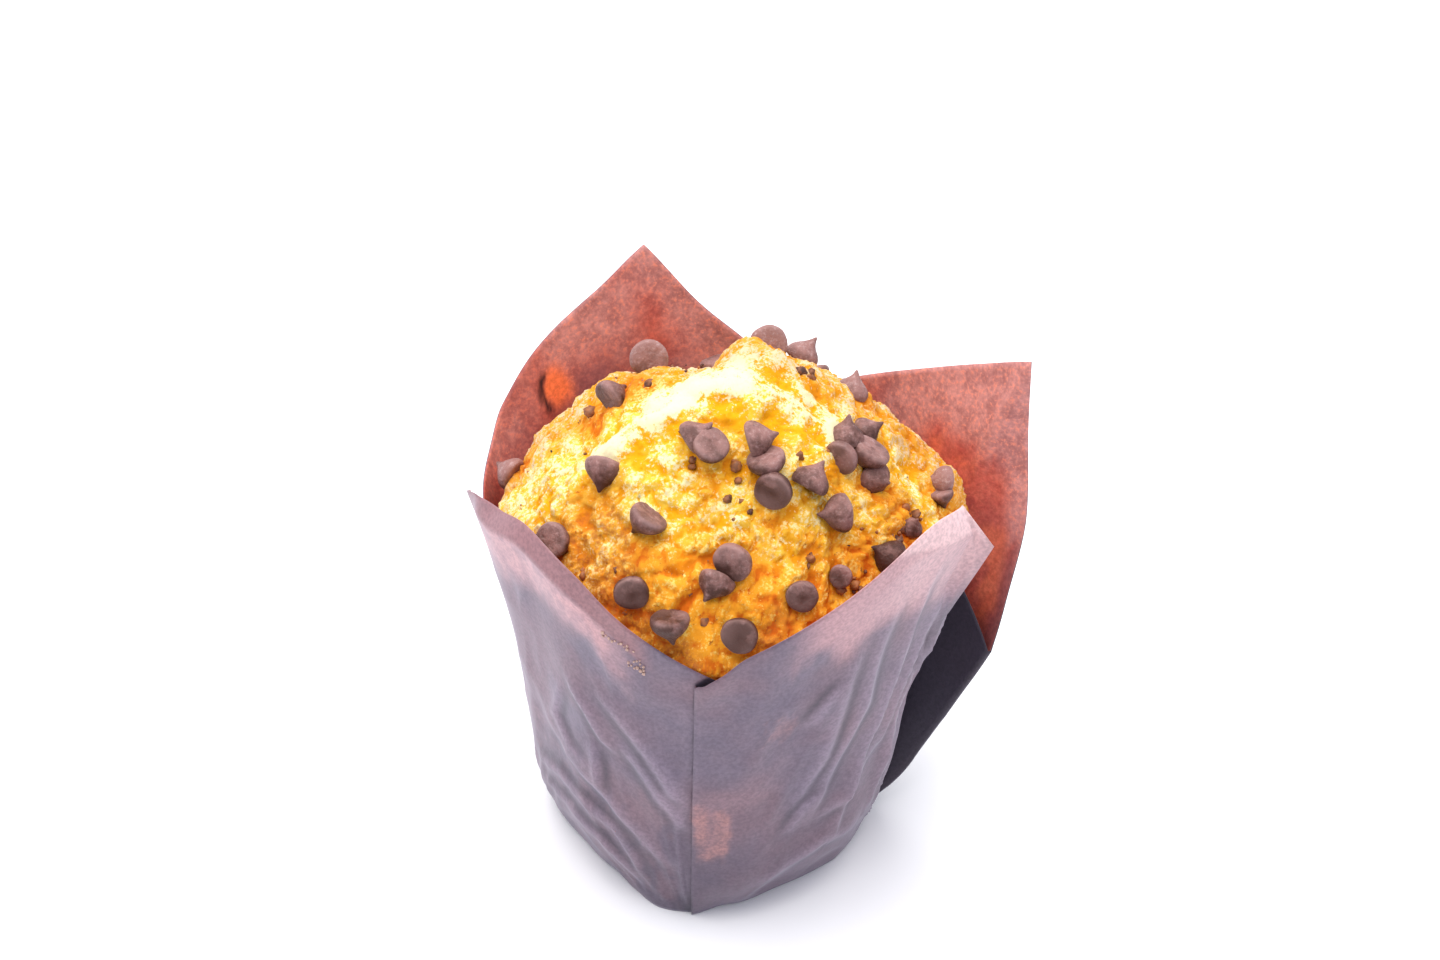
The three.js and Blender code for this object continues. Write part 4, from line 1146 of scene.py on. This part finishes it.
def closed_skins(rings, sides, number, turned=False):
    """Faces of `number` closed skins. Each has its rings of points from one end to the other and then
    its two end points: every ring is joined to the next, and the ends are fans. `turned` is for
    rings that run from the top down."""
    j = np.arange(sides)
    k = (j + 1) % sides
    first, final, last = rings * sides, rings * sides + 1, (rings - 1) * sides
    quads = np.concatenate([ring_faces(r * sides, sides) for r in range(rings - 1)])
    fans = [(j, np.full_like(j, first), k), (last + j, last + k, np.full_like(j, final))]
    fans = np.concatenate([np.stack(fan, 1) for fan in fans])
    if turned:
        quads, fans = quads[:, [0, 3, 2, 1]], fans[:, [0, 2, 1]]
    starts = np.arange(number) * (rings * sides + 2)
    return sum([(quads + start).tolist() + (fans + start).tolist() for start in starts], [])


# %% Chocolate
def chocolate():
    """Dark chocolate with a grey bloom in clouds, pale dust, and rubbed edges. The mesh's value for the
    bloom also carries painted light, paler towards each chip's top, and painted shade on the chips
    low in the shade.
    """
    material, tree, shader = new_material("dark chocolate")
    where = object_place(tree)
    cloud = noise_node(tree, where, 2.6, 5.0, 0.65)
    bloom_and_light = calculate(tree, "ADD", spread(tree, cloud, 0.35, 0.65, -0.4, 0.4), reading(tree, "bloom_and_light"))
    colour = blend(tree, bloom_and_light, (0.06, 0.019, 0.012), (0.29, 0.141, 0.122))
    colour = blend(tree, reading(tree, "rubbed"), colour, (0.34, 0.2, 0.18))
    dust = spread(tree, noise_node(tree, where, 0.6, 4.0, 0.75), 0.5, 0.68, 0.0, 0.65)
    colour = blend(tree, calculate(tree, "MULTIPLY", dust, bloom_and_light), colour, (0.43, 0.28, 0.265))
    tree.links.new(colour, shader.inputs["Base Color"])
    shine = spread(tree, noise_node(tree, where, 1.1, 3.0, 0.6), 0.3, 0.7, 0.36, 0.6)
    tree.links.new(shine, shader.inputs["Roughness"])
    shader.inputs["Specular IOR Level"].default_value = 0.35
    add_bump(tree, shader, noise_node(tree, where, 1.3, 6.0, 0.72), 0.8, 0.0005)
    return material


# %% Chips
# painted shade: the chips low in the shade get a low bloom value
DARK_CHIPS, SHADED_BLOOM = [7, 8, 9, 17, 25, 27], -0.3  # numbers in the table: those low in the shade
LIGHT_CHIPS, LIGHT_BLOOM = [0, 12, 13, 14, 29, 31], 0.75  # and those that are paler than the rest


def one_chip():
    """The profile turned about the upright axis: its rings from the base up, then its two ends."""
    table = np.array(CHIP_PROFILE)
    reach, rise = table[:, 0] * CHIP_WIDTH, (table[:, 1] - CHIP_MIDDLE) * CHIP_HEIGHT
    bearing = np.arange(CHIP_SIDES) * 360 / CHIP_SIDES
    rings = place(bearing[None], reach[1:-1, None], rise[1:-1, None])
    return np.concatenate([rings.reshape(-1, 3), [[0, 0, rise[0]], [0, 0, rise[-1]]]])


def dented(local, number):
    """No two chips are quite alike: each is scaled by noise of its own in two sizes, and its tip is
    drawn to one side by the square of the height. The larger noise comes back too, for the finish."""
    x, y, z = np.moveaxis(local, -1, 0)
    dent = noise(x / 2.4 + 9 * number, y / 2.4, z / 2.4)
    local = local * (1 + 0.06 * dent[..., None])
    x, y, z = np.moveaxis(local, -1, 0)
    local = local * (1 + 0.03 * noise(x / 1.1 + 5 * number, y / 1.1 + 30, z / 1.1)[..., None])
    lean_to = np.stack([noise(number * 1.7, 3.3), noise(number * 2.3, 8.1)], -1)
    local[..., :2] += lean_to * 0.45 * np.clip(local[..., 2:] / CHIP_HEIGHT + 0.1, 0, 1) ** 2 * CHIP_HEIGHT
    return local, dent


def build_chips():
    """Every chip at once, as an array of chips by points, each turned to its tip and put on its seat."""
    x, y, heading, lean, size, sunk = np.array(CHIPS).T
    number = np.arange(len(CHIPS))[:, None]
    seat, out = crust_over(x, y)
    centre = seat + out * (CHIP_LIFT * size - sunk)[:, None]
    local, dent = dented(one_chip()[None] * size[:, None, None], number)
    tip = place(heading, np.sin(np.radians(lean)), np.cos(np.radians(lean)))
    world = np.einsum("nij,nkj->nki", turn_up_to(tip), local) + centre[:, None]
    heights = np.array(CHIP_PROFILE)[1:-1, 1]
    base_edge = np.repeat(np.exp(-(((heights - 0.05) / 0.06) ** 2)), CHIP_SIDES)
    rubbed = np.clip(np.append(base_edge, [0, 0.6]) * (0.4 + 0.5 * dent), 0, 1)
    bloom_and_light = np.repeat(0.27 + 0.25 * noise(number * 3.1, 5.7), dent.shape[1], axis=1)
    bloom_and_light[DARK_CHIPS], bloom_and_light[LIGHT_CHIPS] = SHADED_BLOOM, LIGHT_BLOOM
    # painted light: each chip is paler towards its top and darker below
    bloom_and_light += 0.2 * (world[..., 2] - centre[:, None, 2]) / size[:, None]
    values = {"rubbed": rubbed.ravel(), "bloom_and_light": bloom_and_light.ravel()}
    faces = closed_skins(len(heights), CHIP_SIDES, len(CHIPS))
    piece = make_piece("chocolate_chips", world.reshape(-1, 3), faces, [chocolate()], None, values)
    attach(piece, "root")
    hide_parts("muffin")


build_chips()

# %% [markdown]
# ## Crumbs
# Chips break as the batter is stirred, so dark splinters and browned crumbs lie between them, and a
# few pale ones stuck to the wrapper's outside. Each is a small ball of a few faces pushed out of
# round; all of one kind are a single mesh. The draw is seeded.

# %% Small crumbs
BALL_RINGS, BALL_SIDES = 5, 8


def lumps(places, outs, sizes, seed):
    """Small uneven balls: (sin p cos t, sin p sin t, cos p) over rings p and sides t, each point moved
    along its ray by a random share, and the ball stretched by random shares along its axes."""
    rng = np.random.default_rng(seed)
    p = np.linspace(0, np.pi, BALL_RINGS + 2)[1:-1, None]
    t = np.arange(BALL_SIDES) * 2 * np.pi / BALL_SIDES
    rings = np.stack(np.broadcast_arrays(np.sin(p) * np.cos(t), np.sin(p) * np.sin(t), np.cos(p)), -1)
    ball = np.concatenate([rings.reshape(-1, 3), [[0, 0, 1], [0, 0, -1]]])
    uneven = rng.uniform(0.7, 1.25, (len(places), len(ball), 1))
    stretch = rng.uniform(0.6, 1.3, (len(places), 1, 3))
    local = ball[None] * uneven * stretch * np.asarray(sizes)[:, None, None]
    world = np.einsum("nij,nkj->nki", turn_up_to(outs), local) + places[:, None]
    return world.reshape(-1, 3), closed_skins(BALL_RINGS, BALL_SIDES, len(places), turned=True)


# %% Splinters between the chips
SPLINTERS = [  # x and y on the plan and a size, of the larger splinters of chocolate
    (10.6, 6.1, 0.8), (12, 7, 0.7), (-11.1, 3.1, 0.8), (-19.5, 5.5, 0.8), (10.5, -10.2, 0.8),
    (0.7, -16.5, 0.7), (4, -17.8, 0.4), (1.8, -12.9, 0.7), (-4.4, -12.3, 0.6), (14.5, -7.9, 0.6),
    (27.8, -6.9, 0.8), (26.4, -7.1, 0.7), (24.1, -14.5, 0.8), (25.4, -12.5, 0.7), (-18.9, -20.8, 0.8),
    (-18.2, -22.6, 0.9), (-14.3, -22.2, 0.8), (-6.6, -25.3, 0.5), (-4.1, -26.2, 0.6), (17.1, -22.5, 0.8),
    (20.7, -20.8, 0.7), (19.2, -21, 0.7), (-13.7, -28.6, 0.6), (-1.9, -28.8, 0.8), (12.7, -21, 0.8),
    (26, -10.5, 0.6), (8, -27.5, 0.4),
]
SCATTERED = 60  # smaller bits anywhere on the dome
SCATTER_REACH, MOST_REACH = 31, 29.5


def browned():
    """Bits that run from dark chocolate to red-brown crust, by the tone of each."""
    material, tree, shader = new_material("browned bits")
    where = object_place(tree)
    cloud = spread(tree, noise_node(tree, where, 0.8, 4.0, 0.6), 0.35, 0.65, -0.3, 0.3)
    tone = calculate(tree, "ADD", reading(tree, "tone"), cloud)
    colour = blend(tree, tone, (0.065, 0.022, 0.014), (0.36, 0.12, 0.03))
    tree.links.new(colour, shader.inputs["Base Color"])
    shader.inputs["Roughness"].default_value = 0.6
    return material


def build_splinters():
    """The listed splinters, two smaller ones near each, and bits spread evenly over the plan, whose
    reach is the root of an even draw."""
    rng = np.random.default_rng(41)
    big = np.array(SPLINTERS)
    angle = rng.uniform(0, 2 * np.pi, SCATTERED)
    reach = SCATTER_REACH * np.sqrt(rng.uniform(0.02, 1, SCATTERED))
    around = rng.normal(0, 0.9, (2 * len(big), 2)) + np.repeat(big[:, :2], 2, axis=0)
    x = np.concatenate([big[:, 0], around[:, 0], reach * np.sin(angle)])
    y = np.concatenate([big[:, 1], around[:, 1], reach * np.cos(angle)])
    inside = np.minimum(1, MOST_REACH / np.hypot(x, y))
    x, y = x * inside, y * inside
    small, smallest = rng.uniform(0.25, 0.5, len(around)), rng.uniform(0.12, 0.28, SCATTERED)
    size = np.concatenate([big[:, 2] * 1.15, small, smallest])
    seat, out = crust_over(x, y)
    points, faces = lumps(seat + out * (0.05 * size)[:, None], out, size, 7)
    tone = np.repeat(rng.uniform(0, 1, len(x)), len(points) // len(x))
    piece = make_piece("chocolate_splinters", points, faces, [browned()], None, {"tone": tone})
    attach(piece, "root")


build_splinters()

# %% Crumbs that stuck to the wrapper
STUCK = [  # two little trails on the front left petal, as bearings and heights
    [(-28.5, 62.1), (-26.1, 61.5), (-23.2, 61.5), (-21.4, 60.6)],
    [(-22.4, 57.5), (-20.6, 56.9), (-18.2, 56.5), (-19.1, 58.3), (-20.5, 58.6)],
]


def build_stuck_crumbs():
    """Each crumb is drawn along its trail, moved a little off it, and put on the outside of the grid
    point of the sheet that is nearest in bearing and height."""
    middle, bearing, z, _ = wrapper_grid()
    normal = grid_normals(middle)
    rng = np.random.default_rng(5)
    trail = []
    for line in STUCK:
        line = np.array(line)
        at = rng.uniform(0, len(line) - 1, 30)
        trail.append(np.stack([np.interp(at, np.arange(len(line)), line[:, k]) for k in (0, 1)], -1))
    trail = np.concatenate(trail)
    trail = trail + rng.normal(0, (0.5, 0.2), trail.shape)
    near = ((bearing - trail[:, :1, None] + 180) % 360 - 180) ** 2 * 0.3 + (z - trail[:, 1:, None]) ** 2
    row, column = np.unravel_index(near.reshape(len(trail), -1).argmin(1), z.shape)
    out = normal[row, column]
    out = out * np.sign(np.sum(out * middle[row, column], -1, keepdims=True))
    size = rng.uniform(0.1, 0.26, len(trail))
    points, faces = lumps(middle[row, column] + out * 0.18, out, size, 11)
    material, _, shader = new_material("stray crumbs")
    shader.inputs["Base Color"].default_value = (0.54, 0.36, 0.29, 1)
    shader.inputs["Roughness"].default_value = 0.8
    piece = make_piece("stray_crumbs", points, faces, [material])
    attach(piece, "root")


build_stuck_crumbs()

# %% [markdown]
# ## Room, light and camera
# The muffin stands on a white floor in a bright, soft room, so its shadow is hardly there. A wide
# lamp hangs over it and a little behind; the sky of the room fills the rest, slightly blue, which is
# what tints the shadow. The camera looks down on it from the front.

# %% Floor, lamp and sky
def build_floor():
    """A flat square of six metres."""
    size = 3000.0
    corners = np.array([[-size, -size, 0], [size, -size, 0], [size, size, 0], [-size, size, 0]])
    material, _, shader = new_material("white floor")
    shader.inputs["Base Color"].default_value = (0.93, 0.93, 0.93, 1)
    shader.inputs["Roughness"].default_value = 0.6
    shader.inputs["Specular IOR Level"].default_value = 0.2
    floor = make_piece("floor", corners, [[0, 1, 2, 3]], [material])


def looking(location, back, roll):
    """The matrix of a camera or lamp at location whose rear is towards back, rolled by degrees."""
    right = np.cross([0, 0, 1], back)
    right /= np.linalg.norm(right)
    up = np.cross(back, right)
    turn = np.radians(roll)
    across, over = np.cos(turn) * right + np.sin(turn) * up, np.cos(turn) * up - np.sin(turn) * right
    rows = [[across[i], over[i], back[i], location[i]] for i in range(3)]
    return Matrix([*rows, [0, 0, 0, 1]])


def add_lamp(name, location, target, size, power, colour):
    """A round area lamp whose face is towards the target."""
    lamp = bpy.data.lights.new(name, "AREA")
    lamp.shape = "DISK"
    lamp.size, lamp.energy, lamp.color = size, power, colour
    holder = bpy.data.objects.new(name, lamp)
    bpy.context.scene.collection.objects.link(holder)
    back = np.array(location, float) - np.array(target, float)
    holder.matrix_world = looking(np.array(location, float), back / np.linalg.norm(back), 0.0)


build_floor()
add_lamp("overhead", (-0.12, 0.14, 0.98), (0, 0, 0.04), 1.3, 17.2, (1.0, 0.975, 0.94))
world = bpy.data.worlds.new("pale room")
bpy.context.scene.world = world
world.use_nodes = True
sky = world.node_tree.nodes["Background"]
sky.inputs["Color"].default_value = (0.87, 0.895, 1.02, 1)
sky.inputs["Strength"].default_value = 0.89
bpy.context.scene.view_settings.view_transform = "Standard"
bpy.context.scene.view_settings.exposure = 0.0

# %% Camera
ELEVATION, DISTANCE, FIELD, ROLL = 42, 0.530, 24.5, 2
TARGET = np.array([-0.0004, 0.0336, 0.035])
back = np.array([0, -np.cos(np.radians(ELEVATION)), np.sin(np.radians(ELEVATION))])
lens = bpy.data.cameras.new("camera")
lens.sensor_fit = "HORIZONTAL"
lens.sensor_width = 36
lens.lens = 18 / np.tan(np.radians(FIELD / 2))
lens.clip_start, lens.clip_end = 0.01, 20
camera = bpy.data.objects.new("camera", lens)
bpy.context.scene.collection.objects.link(camera)
camera.matrix_world = looking(TARGET + DISTANCE * back, back, ROLL)
bpy.context.scene.camera = camera
print("lens:", round(lens.lens, 1), "mm")
